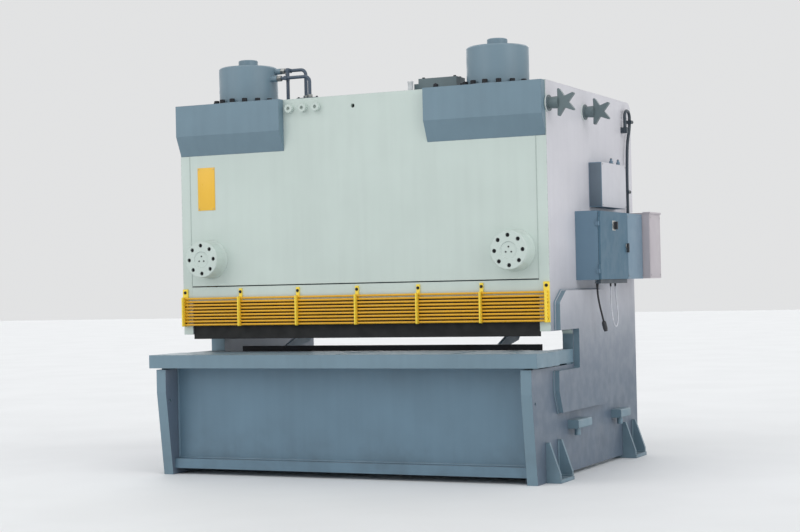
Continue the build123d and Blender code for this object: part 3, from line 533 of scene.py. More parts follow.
@dataclass(frozen=True)
class Clear(Finish):
    """Tinted clear plastic over oil."""

    roughness: float = 0.08

    def cover(self, surface: Surface) -> None:
        """Show the oil up to its level.

        Args:
            surface: The material's nodes.
        """
        height = surface.axis(surface.place, "Z")
        tint = surface.mix(
            surface.ramp(height, OIL_LEVEL, OIL_LEVEL + 0.004), self.colour, ABOVE_OIL
        )
        streak = surface.ramp(surface.noise(40, 4), 0.35, 0.7, 0.85, 1.0)
        colour = surface.mix(1.0, tint, streak, "MULTIPLY")
        surface.coat(colour, surface.drift(60, 3, self.roughness, self.roughness + 0.12))
        surface.shader.inputs["Transmission Weight"].default_value = 0.35
        surface.relief(surface.noise(90, 2), 0.00005, PLASTIC_ROUNDING)


FINISHES: dict[str, Finish] = {made.name: made for made in (
    Paint("side_paint", SIDE_TOP_LIT, 0.42, 0.03, 0.3, 0.2, waves=0.0006, tone=Tone.SIDE),
    Paint("cheek_paint", SIDE_TOP_LIT, 0.42, 0.03, 0.35, 0.2, tone=Tone.CHEEK),
    Paint("front_paint", PALE_GREEN, 0.38, 0.025, 0.2, 0.2, waves=0.0006),
    Paint("blue_paint", BLUE_GREY, 0.4, 0.05, 0.35, 0.2),
    Paint("bed_paint", DEEP_BLUE, 0.4, 0.05, 0.3, 0.25, waves=0.0008),
    Paint("cylinder_paint", srgb(117, 140, 153), 0.34, 0.04, 0.25, 0.2),
    Paint("cleat_paint", srgb(98, 114, 118), 0.42, 0.06, 0.4, 0.2, 0.00018),
    Paint("pipe_paint", srgb(72, 86, 102), 0.4, 0.04, 0.3, 0.2, worn=0.003),
    Paint("dark_blue_paint", srgb(50, 62, 72), 0.44, 0.04, 0.2, 0.2, worn=0.001),
    Paint("grey_green_paint", srgb(120, 136, 138), 0.42, 0.07, 0.4, 0.3, 0.00018),
    Paint("guard_paint", srgb(255, 224, 74), 0.32, 0.03, 0.35, 0.2, worn=0.003),
    # The guard's yellow made deeper for the rails: painted shade between the rails.
    Paint("shaded_rail_paint", srgb(226, 170, 26), 0.32, 0.04, 0.25, 0.2, worn=0.002),
    Paint("seam_paint", srgb(176, 190, 184), 0.42, 0.04, 0.1, 0.2),
    Paint("motor_paint", srgb(84, 104, 116), 0.44, 0.06, 0.35, 0.2, 0.0002),
    # Near-black paint that is painted shade: the dark band under the guard.
    Paint("apron_shade_black", srgb(16, 18, 19), 0.7, 0.05, 0.2, 0.2),
    Paint("sign_paint", srgb(240, 190, 62), 0.3, 0.02, 0.15, 0.0, worn=0.0008),
    SheetPaint("lid_paint", srgb(204, 204, 210)),
    SheetPaint("terminal_paint", srgb(118, 142, 160)),
    SheetPaint("lilac_paint", srgb(188, 181, 186)),
    SheetPaint("sheet_paint", srgb(104, 132, 152), worn=0.002),
    # The cabinet's paint made darker for the door's outward face: painted shade.
    SheetPaint("shaded_door_paint", srgb(74, 107, 127), 0.54, worn=0.002),
    # Darker grey for a front-facing face of a pale box: painted shade.
    SheetPaint("shaded_sheet_paint", srgb(104, 118, 130), cloud=0.03, wear=0.2, worn=0.0008),
    Metal("ground_steel", srgb(196, 198, 200), 0.3, (6, 340, 340)),
    Metal("turned_steel", srgb(190, 192, 194), 0.28, (260, 260, 6)),
    # Steel darkened as painted shade, for the plungers under the guard.
    Metal("shaded_oiled_steel", srgb(112, 112, 112), 0.36, (260, 260, 6), 0.3),
    Metal("zinc_steel", srgb(178, 180, 178), 0.4, (90, 90, 90), 0.12),
    Metal("black_steel", srgb(58, 60, 64), 0.42, (120, 120, 120), 0.1),
    Metal("bronze", srgb(190, 150, 96), 0.36, (200, 200, 12), 0.25),
    Polymer("black_rubber", srgb(40, 40, 44), 0.6),
    Polymer("pale_sheath", srgb(212, 214, 220)),
    Polymer("dark_plastic", srgb(52, 54, 58), 0.45, 300),
    Polymer("light_plastic", srgb(206, 206, 200), 0.42, 300),
    Polymer("sleeve_plastic", srgb(226, 226, 226), 0.5, 300),
    Clear("oil_glass", srgb(190, 136, 48)),
)}


@cache
def finish(name: str) -> bpy.types.Material:
    """Give a finish's material, made once."""
    return FINISHES[name].build()


def draw_line(
    name: str, points: Sequence[Sequence[float]], radius: float, kind: str, resolution: int
) -> bpy.types.Curve:
    """Draw a round-sectioned curve.

    Args:
        name: The curve's name.
        points: Points of its route.
        radius: Its radius.
        kind: The spline's type, POLY for straight runs.
        resolution: Steps of a quarter of its section.

    Returns:
        The curve.
    """
    curve = bpy.data.curves.new(name, "CURVE")
    curve.dimensions = "3D"
    curve.bevel_depth = radius
    curve.bevel_resolution = resolution
    curve.use_fill_caps = True
    spline = curve.splines.new(kind)
    spline.points.add(len(points) - 1)
    for target, point in zip(spline.points, points):
        target.co = (*point, 1.0)
    return curve


class Shaper:
    """A mesh that grows by bmesh operators, in row coordinates."""

    def __init__(self) -> None:
        """Start with nothing."""
        self.mesh = bmesh.new()

    def place(self, verts: Iterable[bmesh.types.BMVert], matrix: Matrix) -> None:
        """Move new vertices."""
        bmesh.ops.transform(self.mesh, matrix=matrix, verts=list(verts))

    def bevel(self, edges: Iterable[bmesh.types.BMEdge], width: float, segments: int = 2) -> None:
        """Round edges by a width."""
        bmesh.ops.bevel(
            self.mesh, geom=list(edges), offset=width, offset_type="OFFSET", segments=segments,
            profile=0.5, affect="EDGES", clamp_overlap=True, material=-1,
        )

    def block(
        self, low: Sequence[float], high: Sequence[float], bevel: float = 0.0, segments: int = 2
    ) -> "Shaper":
        """Add a box between two corners, with rounded edges.

        Args:
            low: Lowest corner.
            high: Highest corner.
            bevel: Width of the rounding.
            segments: Steps of the rounding.

        Returns:
            This shaper.
        """
        low, high = Vector(low), Vector(high)
        made = bmesh.ops.create_cube(self.mesh, size=1.0)["verts"]
        size = Matrix.Diagonal((*(high - low), 1.0))
        self.place(made, Matrix.Translation((low + high) / 2) @ size)
        if bevel:
            edges = dict.fromkeys(edge for vert in made for edge in vert.link_edges)
            self.bevel(edges, bevel, segments)
        return self

    def rod(
        self, start: Sequence[float], run: Sequence[float], radius: float, sides: int = 24,
        bevel: float = 0.0, end_radius: Optional[float] = None,
    ) -> "Shaper":
        """Add a round bar, a cone or a prism.

        Args:
            start: Centre of the first end.
            run: Way from there to the centre of the other end.
            radius: Radius at the start.
            sides: Number of sides, 6 for a hexagon.
            bevel: Rounding of both rims.
            end_radius: Radius at the other end, where it differs.

        Returns:
            This shaper.
        """
        start, run = Vector(start), Vector(run)
        made = bmesh.ops.create_cone(
            self.mesh, cap_ends=True, segments=sides, radius1=radius,
            radius2=radius if end_radius is None else end_radius, depth=run.length,
        )["verts"]
        edges = dict.fromkeys(edge for vert in made for edge in vert.link_edges)
        rims = [edge for edge in edges if any(len(face.verts) > 4 for face in edge.link_faces)]
        self.place(made, turn_to(run, start + run / 2))
        if bevel:
            self.bevel(rims, bevel)
        return self

    def hexagons(self, runs: Iterable[Run], bevel: float = 0.002) -> "Shaper":
        """Add hexagonal nuts, each from its start, run and radius.

        Args:
            runs: The nuts.
            bevel: Rounding of their rims.

        Returns:
            This shaper.
        """
        for start, run, radius in runs:
            self.rod(start, run, radius, 6, bevel)
        return self

    def turned(self, profile: Sequence[Pair], matrix: Matrix, steps: int = 32) -> "Shaper":
        """Spin a profile of radius and height about local Z.

        Args:
            profile: Corners from the axis out and back to it, or a closed ring's corners.
            matrix: Place of the axis.
            steps: Steps round the axis.

        Returns:
            This shaper.
        """
        verts = [self.mesh.verts.new((radius, 0.0, height)) for radius, height in profile]
        closed = profile[0][0] > 0 and profile[-1][0] > 0
        pairs = list(zip(verts, verts[1:])) + ([(verts[-1], verts[0])] if closed else [])
        edges = [self.mesh.edges.new(pair) for pair in pairs]
        bmesh.ops.spin(
            self.mesh, geom=verts + edges, cent=(0, 0, 0), axis=(0, 0, 1), dvec=(0, 0, 0),
            angle=math.tau, steps=steps, use_merge=True, use_duplicate=False,
        )
        seen, grow = dict.fromkeys(verts), list(verts)
        while grow:
            vert = grow.pop()
            for other in (edge.other_vert(vert) for edge in vert.link_edges):
                if other not in seen:
                    seen[other] = None
                    grow.append(other)
        bmesh.ops.remove_doubles(self.mesh, verts=list(seen), dist=1e-6)
        self.place([vert for vert in seen if vert.is_valid], matrix)
        return self

    def ring(self, radius: float, tube: float, matrix: Matrix, steps: int = 32) -> "Shaper":
        """Add a round-sectioned ring about local Z."""
        section = [(radius + tube * math.cos(a), tube * math.sin(a)) for a in turns(8)]
        return self.turned(section, matrix, steps)

    def copied(self, node: str) -> "Shaper":
        """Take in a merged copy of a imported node's mesh.

        Args:
            node: The node's name.

        Returns:
            This shaper.
        """
        self.mesh.from_mesh(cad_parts[node].data)
        bmesh.ops.remove_doubles(self.mesh, verts=self.mesh.verts[:], dist=1e-6)
        return self

    def stamp(self, pattern: "Shaper", places: Iterable[Matrix]) -> "Shaper":
        """Add copies of another shaper's mesh.

        Args:
            pattern: What is repeated.
            places: Transform of each copy.

        Returns:
            This shaper.
        """
        data = bpy.data.meshes.new("pattern")
        pattern.mesh.to_mesh(data)
        for matrix in places:
            data.transform(matrix)
            self.mesh.from_mesh(data)
            data.transform(matrix.inverted())
        bpy.data.meshes.remove(data)
        return self

    def bead(self, points: Sequence[Sequence[float]], radius: float) -> "Shaper":
        """Add a round bead along straight runs, such as a weld or a gasket.

        Args:
            points: Corners of the route.
            radius: Radius of the bead.

        Returns:
            This shaper.
        """
        curve = draw_line("bead", points, radius, "POLY", 2)
        holder = bpy.data.objects.new("bead", curve)
        data = bpy.data.meshes.new_from_object(holder)
        self.mesh.from_mesh(data)
        bpy.data.objects.remove(holder)
        bpy.data.curves.remove(curve)
        bpy.data.meshes.remove(data)
        return self

    def piece(
        self, name: str, material: str, body: str = BODY, slot: Optional[str] = None,
        stands_for: Sequence[str] = (), sharp: float = 0.6,
    ) -> None:
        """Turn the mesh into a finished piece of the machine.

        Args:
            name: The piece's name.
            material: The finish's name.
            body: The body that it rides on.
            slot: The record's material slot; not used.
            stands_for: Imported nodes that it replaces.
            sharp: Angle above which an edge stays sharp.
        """
        bmesh.ops.recalc_face_normals(self.mesh, faces=self.mesh.faces[:])
        for face in self.mesh.faces:
            face.smooth = True
        for edge in self.mesh.edges:
            edge.smooth = len(edge.link_faces) == 2 and edge.calc_face_angle(0.0) < sharp
        data = bpy.data.meshes.new(name)
        self.mesh.to_mesh(data)
        self.mesh.free()
        data.materials.append(finish(material))
        piece = bpy.data.objects.new(name, data)
        bpy.context.scene.collection.objects.link(piece)
        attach(piece, body)
        if stands_for:
            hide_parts(*stands_for)
        log.info("%s: %d faces on %s", name, len(data.polygons), body)


def cap_screw(radius: float, height: float, sides: int = 24) -> Shaper:
    """Make a socket screw's head, seated at local z 0.

    Args:
        radius: Radius of the head.
        height: Height of the head.
        sides: Sides of its rim.

    Returns:
        The head.
    """
    head = Shaper()
    made = bmesh.ops.create_cone(
        head.mesh, cap_ends=True, segments=sides, radius1=radius, radius2=radius, depth=height
    )["verts"]
    head.place(made, Matrix.Translation((0, 0, height / 2)))
    top = max(head.mesh.faces, key=lambda face: face.calc_center_median().z)
    head.bevel(top.edges[:], radius * 0.12, 1)
    top = max(head.mesh.faces, key=lambda face: face.calc_center_median().z)
    bmesh.ops.inset_individual(head.mesh, faces=[top], thickness=radius * 0.38)
    floor = bmesh.ops.extrude_discrete_faces(head.mesh, faces=[top])["faces"]
    bmesh.ops.translate(head.mesh, verts=floor[0].verts[:], vec=(0, 0, -height * 0.55))
    return head


def hex_bolt(radius: float, height: float, washer: float) -> Shaper:
    """Make a hexagon head on its washer, seated at local z 0."""
    bolt = Shaper().rod((0, 0, 0), (0, 0, washer), radius * 1.25, 20, washer * 0.25)
    return bolt.rod((0, 0, washer), (0, 0, height), radius, 6, radius * 0.1)


def step(method: Callable[..., None]) -> Callable[..., None]:
    """Mark a method that an assembly's build calls, in the order of its class."""
    method.is_step = True
    return method


@dataclass
class Assembly:
    """Part of the machine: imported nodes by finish, and the pieces that are made for it."""

    finishes: Names = ()

    def build(self) -> None:
        """Give the nodes their finishes, then make the pieces."""
        for name, *nodes in self.finishes:
            for node in nodes:
                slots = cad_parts[node].data.materials
                slots.clear()
                slots.append(finish(name))
        for method in vars(type(self)).values():
            if getattr(method, "is_step", False):
                method(self)


@dataclass
class Frame(Assembly):
    """Side frames, cheeks, bed, table, upper beam, crown and what is bolted to them."""

    finishes: Names = (
        ("side_paint", "side_frame_left", "side_frame_right"),
        ("cheek_paint", "cheek_plates"),
        ("front_paint", "front_beam", "hold_down_beam", "thrust_housings"),
        ("blue_paint", "table_slab", "cylinder_housings", "crown_plate", "anchor_feet"),
        ("bed_paint", "bed", "tie_beams", "drop_chute"),
        # The apron's near-black paint is painted shade under the guard.
        ("apron_shade_black", "hold_down_apron"),
        ("bronze", "ram_guides"),
    )
    sign_x: Pair = (-1.351, -1.199)
    sign_z: Pair = (1.99, 2.317)
    sign_recess: float = 0.034
    sign_thick: float = 0.003
    rivet_inset: float = 0.012
    stub_x: float = 1.53
    star_shift: float = 0.02
    star_growth: float = 0.2
    star_half: float = 0.0175
    star_centre: Pair = (1.615, 2.636)
    hub_radius: float = 0.03
    arm_reach: float = 0.05
    trunnion_y: Pair = (-0.802, -0.025)

    @step
    def cleats(self) -> None:
        """Stand for the trunnions, with star cleats of the size that shows."""
        shape = Shaper().copied("lifting_trunnions")
        for vert in [vert for vert in shape.mesh.verts if vert.co.x > self.stub_x]:
            vert.co.x += self.star_shift
            arm = vert.co - Vector((self.star_centre[0], vert.co.y, self.star_centre[1]))
            if min(abs(vert.co.y - y) for y in self.trunnion_y) < self.star_half:
                reach = min(max((arm.length - self.hub_radius) / self.arm_reach, 0.0), 1.0)
                vert.co += arm * (self.star_growth * reach)
        shape.piece(
            "star_cleats", "cleat_paint", slot="cast_paint", stands_for=["lifting_trunnions"],
            sharp=0.5,
        )

    @step
    def sign(self) -> None:
        """Rivet the bare yellow plate to the upper left of the beam."""
        face = Span.of("front_beam").low.y + self.sign_recess
        front = face - self.sign_thick
        (left, right), (bottom, top) = self.sign_x, self.sign_z
        plate = Shaper().block((left, front, bottom), (right, face, top), 0.0008)
        plate.piece("sign_plate", "sign_paint")
        rivets = Shaper()
        corners = (inset(ends, self.rivet_inset) for ends in (self.sign_x, self.sign_z))
        for x, z in product(*corners):
            rivets.rod((x, front, z), (0, -0.0025, 0), 0.004, 12, 0.0008)
        rivets.piece("sign_rivets", "zinc_steel")


@dataclass
class Welds(Assembly):
    """Fillet welds that the paint covers, along the main seams."""

    bead: float = 0.009
    fine_bead: float = 0.0035
    proud: float = 0.003
    cheek_outline: tuple[Point, ...] = (
        (-0.765, 1.045, 0.0), (-0.765, 1.24, 0.025), (-0.635, 1.322, 0.035), (0.26, 1.322, 0.06),
        (0.26, 0.465, 0.06), (-0.745, 0.465, 0.0), (-0.815, 0.62, 0.0), (-0.81, 0.762, 0.0),
    )
    bed_recess: float = 0.062
    bed_seam: Pair = (0.12, 0.80)
    foot_length: float = 0.27
    gusset_seam: Pair = (0.03, 0.275)
    beam_face: float = -0.8395
    trunnion_at: tuple[Pair, ...] = ((-0.802, 2.636), (-0.025, 2.636))

    @step
    def cheek_seams(self) -> None:
        """Run a bead round both cheek plates, at their foot on the side frames."""
        reach = Span.of("side_frame_right").high.x + self.proud
        for side, sign in zip(("left", "right"), SIDES):
            corners = [((sign * reach, y, z), radius) for y, z, radius in self.cheek_outline]
            Shaper().bead(rounded(corners), self.bead).piece(f"cheek_weld_{side}", "cheek_paint")

    @step
    def bed_seams(self) -> None:
        """Run beads down the corners between the bed's front plate and the legs."""
        bed = Span.of("bed")
        front = bed.low.y + self.bed_recess
        low, high = self.bed_seam
        shape = Shaper()
        for sign in SIDES:
            x = sign * (bed.high.x - self.proud)
            shape.bead([(x, front, low), (x, front, high)], self.bead)
        shape.bead([(x, front, low + 0.001) for x in bed.ends(0, 0.01)], self.bead)
        shape.piece("bed_welds", "bed_paint")

    @step
    def foot_seams(self) -> None:
        """Run beads along the gussets and the plates of the four feet."""
        feet = Span.of("anchor_feet")
        reach = Span.of("side_frame_right").high.x + self.proud
        low, high = self.gusset_seam
        shape = Shaper()
        for sign, near, dy in product(
            SIDES, (feet.low.y, feet.high.y - self.foot_length), inset((0, self.foot_length), 0.026)
        ):
            x, y = sign * reach, near + dy
            shape.bead([(x, y, low), (x, y, high)], self.bead * 0.8)
            shape.bead([(x, y, low), (sign * (feet.high.x - 0.012), y, low)], self.bead * 0.8)
        shape.piece("foot_welds", "blue_paint")

    @step
    def beam_seams(self) -> None:
        """Run fine sealed seams where the front plate meets the side frames."""
        beam = Span.of("front_beam")
        ends = (beam.low.z, Span.of("cylinder_housings").low.z)
        shape = Shaper()
        for sign in SIDES:
            shape.bead([(sign * beam.high.x, self.beam_face, z) for z in ends], self.fine_bead)
        shape.piece("front_seams", "seam_paint")

    @step
    def trunnion_seams(self) -> None:
        """Run a bead round the foot of each lifting trunnion."""
        reach = Span.of("side_frame_right").high.x + 0.002
        shape = Shaper()
        for sign, (y, z) in product(SIDES, self.trunnion_at):
            shape.ring(0.058, 0.006, turn_to(X_AXIS, (sign * reach, y, z)))
        shape.piece("trunnion_welds", "side_paint")

    @step
    def tank_seams(self) -> None:
        """Run beads down the tank's corners."""
        tank = Span.of("oil_tank")
        rear = Span.of("tank_lid").high.y - 0.012
        low, high = tank.low.z + 0.004, tank.high.z - 0.002
        shape = Shaper()
        for x, y in product(tank.ends(0, 0.001), inset((tank.low.y, rear), 0.001)):
            shape.bead([(x, y, low), (x, y, high)], 0.005)
        shape.piece("tank_welds", "bed_paint")


@dataclass
class Screws(Assembly):
    """Socket screws of the thrust housings and the cylinder flanges."""

    thrust_screw: Pair = (0.013, 0.015)
    thrust_circle: float = 0.106
    thrust_count: int = 8
    thrust_turn: float = 2.0
    thrust_sink: float = 0.02
    flange_screw: Pair = (0.020, 0.030)
    flange_circle: float = 0.256
    flange_count: int = 16
    flange_thick: float = 0.01
    pad_screw: Screw = (0.006, 0.003, 12)
    pad_at: Pair = (1.25, 1.612)
    pad_sink: float = 0.006
    pad_circle: float = 0.024

    @step
    def heads(self) -> None:
        """Make the screws that stand for the plain ones."""
        thrust, barrels = Span.of("thrust_housings"), Span.of("main_cylinders")
        shape, places = Shaper(), []
        for x in thrust.ends(0, thrust.half(2)):
            centre = (x, thrust.low.y + self.thrust_sink, thrust.middle.z)
            places += circle(
                centre, -Y_AXIS, self.thrust_circle, self.thrust_count, self.thrust_turn
            )
        shape.stamp(cap_screw(*self.thrust_screw), places)
        places = []
        for x in barrels.ends(0, barrels.half(1)):
            seat = Span.of("cylinder_housings").high.z + self.flange_thick
            centre = (x, barrels.middle.y, seat)
            places += circle(centre, Z_AXIS, self.flange_circle, self.flange_count)
        shape.stamp(cap_screw(*self.flange_screw), places)
        shape.piece("cap_screw_heads", "black_steel", slot="dark_steel", stands_for=["cap_screws"])

    @step
    def pad_screws(self) -> None:
        """Put three stop screws in each thrust pad."""
        seat = Span.of("thrust_housings").low.y + self.pad_sink
        x, z = self.pad_at
        dots = Shaper()
        for sign in SIDES:
            places = circle((sign * x, seat, z), -Y_AXIS, self.pad_circle, 3, 90.0)
            dots.stamp(cap_screw(*self.pad_screw), places)
        dots.piece("pad_stop_screws", "black_steel")


@dataclass
class Cylinders(Assembly):
    """Main cylinders with their rods, ports and pipes."""

    finishes: Names = (
        ("cylinder_paint", "main_cylinders"),
        ("turned_steel", "piston_rods"),
    )
    deep_bar: tuple[Point, Point] = ((-0.702, -0.636, 2.794), (-0.682, -0.504, 3.079))
    clamp: tuple[tuple[Point, Point, float], ...] = (
        ((-0.701, -0.582, 2.795), (-0.683, -0.558, 3.068), 0.0015),
        ((-0.703, -0.62, 2.974), (-0.681, -0.557, 3.006), 0.002),
        ((-0.703, -0.583, 3.036), (-0.681, -0.52, 3.068), 0.002),
    )
    port_reach: float = 0.275
    port_places: tuple[Pair, ...] = ((0.029, 3.052), (-0.031, 2.99))
    foot_height: float = 0.03
    foot_places: tuple[Pair, ...] = ((-0.552, 0.029), (-0.488, -0.031))
    unions_behind: tuple[Run, ...] = (
        ((0.165, 0.29, 2.322), (0, -0.03, 0), 0.026),
        ((0.35, 0.15, 2.18), (-0.028, 0, 0), 0.022),
        ((1.04, -0.294, 3.0), (0, 0.032, 0), 0.024),
        ((0.62, 0.03, 2.23), (0, 0.03, 0), 0.022),
        ((0.42, 0.03, 2.18), (0, 0.03, 0), 0.022),
    )
    foot_screw: Screw = (0.008, 0.008, 16)
    foot_screws: tuple[Pair, ...] = (
        (-0.573, -0.622), (-0.417, -0.622), (-0.417, -0.517), (-0.575, -0.515),
    )
    block_screw: Screw = (0.011, 0.011, 16)
    block_top: float = 0.105
    block_x: Pair = (0.458, 0.708)
    block_y: Pair = (-0.588, -0.492)
    vent_at: Pair = (0.388, -0.67)
    vent_profile: tuple[Pair, ...] = (
        (0.0, 0.0), (0.024, 0.0), (0.024, 0.006), (0.0195, 0.01), (0.0195, 0.072),
        (0.0215, 0.075), (0.0215, 0.085), (0.0185, 0.088), (0.0, 0.088),
    )
    plug: Pair = (0.0108, 0.016)
    plug_x: tuple[float, ...] = (-0.530, -0.416, -0.305)
    plug_z: float = 2.723
    plug_sink: float = 0.022
    # A black disc deep in the tapped hole: painted shade inside the hole.
    shade_disc_at: Pair = (-0.006, 2.713)
    shade_disc_sink: float = 0.063
    shade_disc_radius: float = 0.0149

    @step
    def pipes(self) -> None:
        """Stand for the pipes, with a slim clamp post in the place of the deep bar."""
        shape = Shaper().copied("hydraulic_pipes")
        box = Span(*(Vector(corner) for corner in self.deep_bar))
        bar = [vert for vert in shape.mesh.verts if box.holds(vert.co)]
        bmesh.ops.delete(shape.mesh, geom=bar, context="VERTS")
        for start, end, bevel in self.clamp:
            shape.block(start, end, bevel)
        shape.piece(
            "clamped_pipes", "pipe_paint", slot="machined_steel", stands_for=["hydraulic_pipes"],
            sharp=0.5,
        )

    @step
    def unions(self) -> None:
        """Put a hexagon union on each pipe where it meets its port."""
        barrels = Span.of("main_cylinders")
        y = barrels.middle.y
        port = barrels.low.x + barrels.half(1) + self.port_reach
        foot = Span.of("cylinder_housings").high.z + self.foot_height
        shape = Shaper()
        shape.hexagons(((port, y + dy, z), (0.035, 0, 0), 0.024) for dy, z in self.port_places)
        shape.hexagons(((x, y + dy, foot), (0, 0, 0.026), 0.021) for x, dy in self.foot_places)
        shape.hexagons(self.unions_behind)
        shape.piece("pipe_unions", "zinc_steel")

    @step
    def crown_screws(self) -> None:
        """Screw down the pipes' foot and the manifold block, and bolt the clamp post."""
        crown = Span.of("cylinder_housings").high.z
        places = [turn_to(Z_AXIS, (*at, crown + self.foot_height)) for at in self.foot_screws]
        screws = Shaper().stamp(cap_screw(*self.foot_screw), places)
        places = seats(Z_AXIS, self.block_x, self.block_y, (crown + self.block_top,))
        screws.stamp(cap_screw(*self.block_screw), places)
        plug = ((0.57, Span.of("valve_blocks").low.y, crown + 0.045), (0, -0.012, 0), 0.019)
        bolt = ((-0.701, -0.57, 3.021), (-0.008, 0, 0), 0.009)
        screws.hexagons((plug, bolt), 0.001).piece("crown_screws", "black_steel")
        vent = Shaper().turned(self.vent_profile, turn_to(Z_AXIS, (*self.vent_at, crown)), 28)
        vent.piece("vent_sleeve", "sleeve_plastic")

    @step
    def plugs(self) -> None:
        """Put a socket plug in each sight port of the upper beam."""
        face = Span.of("front_beam").low.y
        places = seats(-Y_AXIS, self.plug_x, (face + self.plug_sink,), (self.plug_z,))
        # The plugs take the darker seam paint instead of the beam's pale green: painted shade.
        Shaper().stamp(cap_screw(*self.plug), places).piece("port_plugs", "seam_paint")
        # Black disc at the tapped hole's floor: painted shade.
        x, z = self.shade_disc_at
        seat = (x, face + self.shade_disc_sink, z)
        shade_disc = Shaper().rod(seat, (0, -0.003, 0), self.shade_disc_radius, 28)
        shade_disc.piece("hole_shade_disc", "black_steel")


@dataclass
class Guard(Assembly):
    """Finger guard with its rails, brackets and fixing bolts."""

    finishes: Names = (
        # Rails take a deeper copy of the guard's yellow: painted shade.
        ("shaded_rail_paint", "guard_rails"),
        ("guard_paint", "guard_brackets"),
    )
    bolt: Bolt = (0.0095, 0.007, 0.002)
    pitch: float = 0.494
    edge: float = 1.478
    tab: float = 0.012
    bolt_z: tuple[float, ...] = (1.128, 1.245, 1.362)

    @step
    def bolts(self) -> None:
        """Bolt the tabs to the beam."""
        seat = (Span.of("hold_down_beam").low.y - self.tab,)
        places = seats(-Y_AXIS, [k * self.pitch for k in range(-2, 3)], seat, self.bolt_z[-1:])
        places += seats(-Y_AXIS, (-self.edge, self.edge), seat, self.bolt_z)
        Shaper().stamp(hex_bolt(*self.bolt), places).piece("guard_bolts", "black_steel")


@dataclass
class Cutting(Assembly):
    """Blades, ram and hold-downs."""

    finishes: Names = (
        ("bed_paint", "knife_beam"),
        ("ground_steel", "upper_blade", "lower_blade"),
        ("black_steel", "hold_down_cartridges"),
        # The plungers' darkened steel is painted shade under the guard.
        ("shaded_oiled_steel", *(f"hold_down_plunger_{i}" for i in range(1, 9))),
    )
    screw: Pair = (0.021, 0.018)
    screw_count: int = 8
    screw_sink: float = 0.0235
    upper_rake: float = 0.05

    def blade_screws(self, node: str, body: str, rake: float, facing: Vector) -> None:
        """Put socket screws in a blade's holes.

        Args:
            node: The blade.
            body: The body that carries the blade.
            rake: Rise of the blade along X.
            facing: Where the heads face.
        """
        blade = Span.of(node)
        seat = (blade.high.y if facing.y > 0 else blade.low.y) - facing.y * self.screw_sink
        columns = spaced(*blade.ends(0, blade.half(0) / self.screw_count), self.screw_count)
        places = [turn_to(facing, (x, seat, blade.middle.z + rake * x)) for x in columns]
        screws = Shaper().stamp(cap_screw(*self.screw), places)
        screws.piece(f"{node}_screws", "black_steel", body)

    @step
    def screws(self) -> None:
        """Screw both blades on."""
        self.blade_screws("upper_blade", "ram", self.upper_rake, -Y_AXIS)
        self.blade_screws("lower_blade", BODY, 0.0, Y_AXIS)


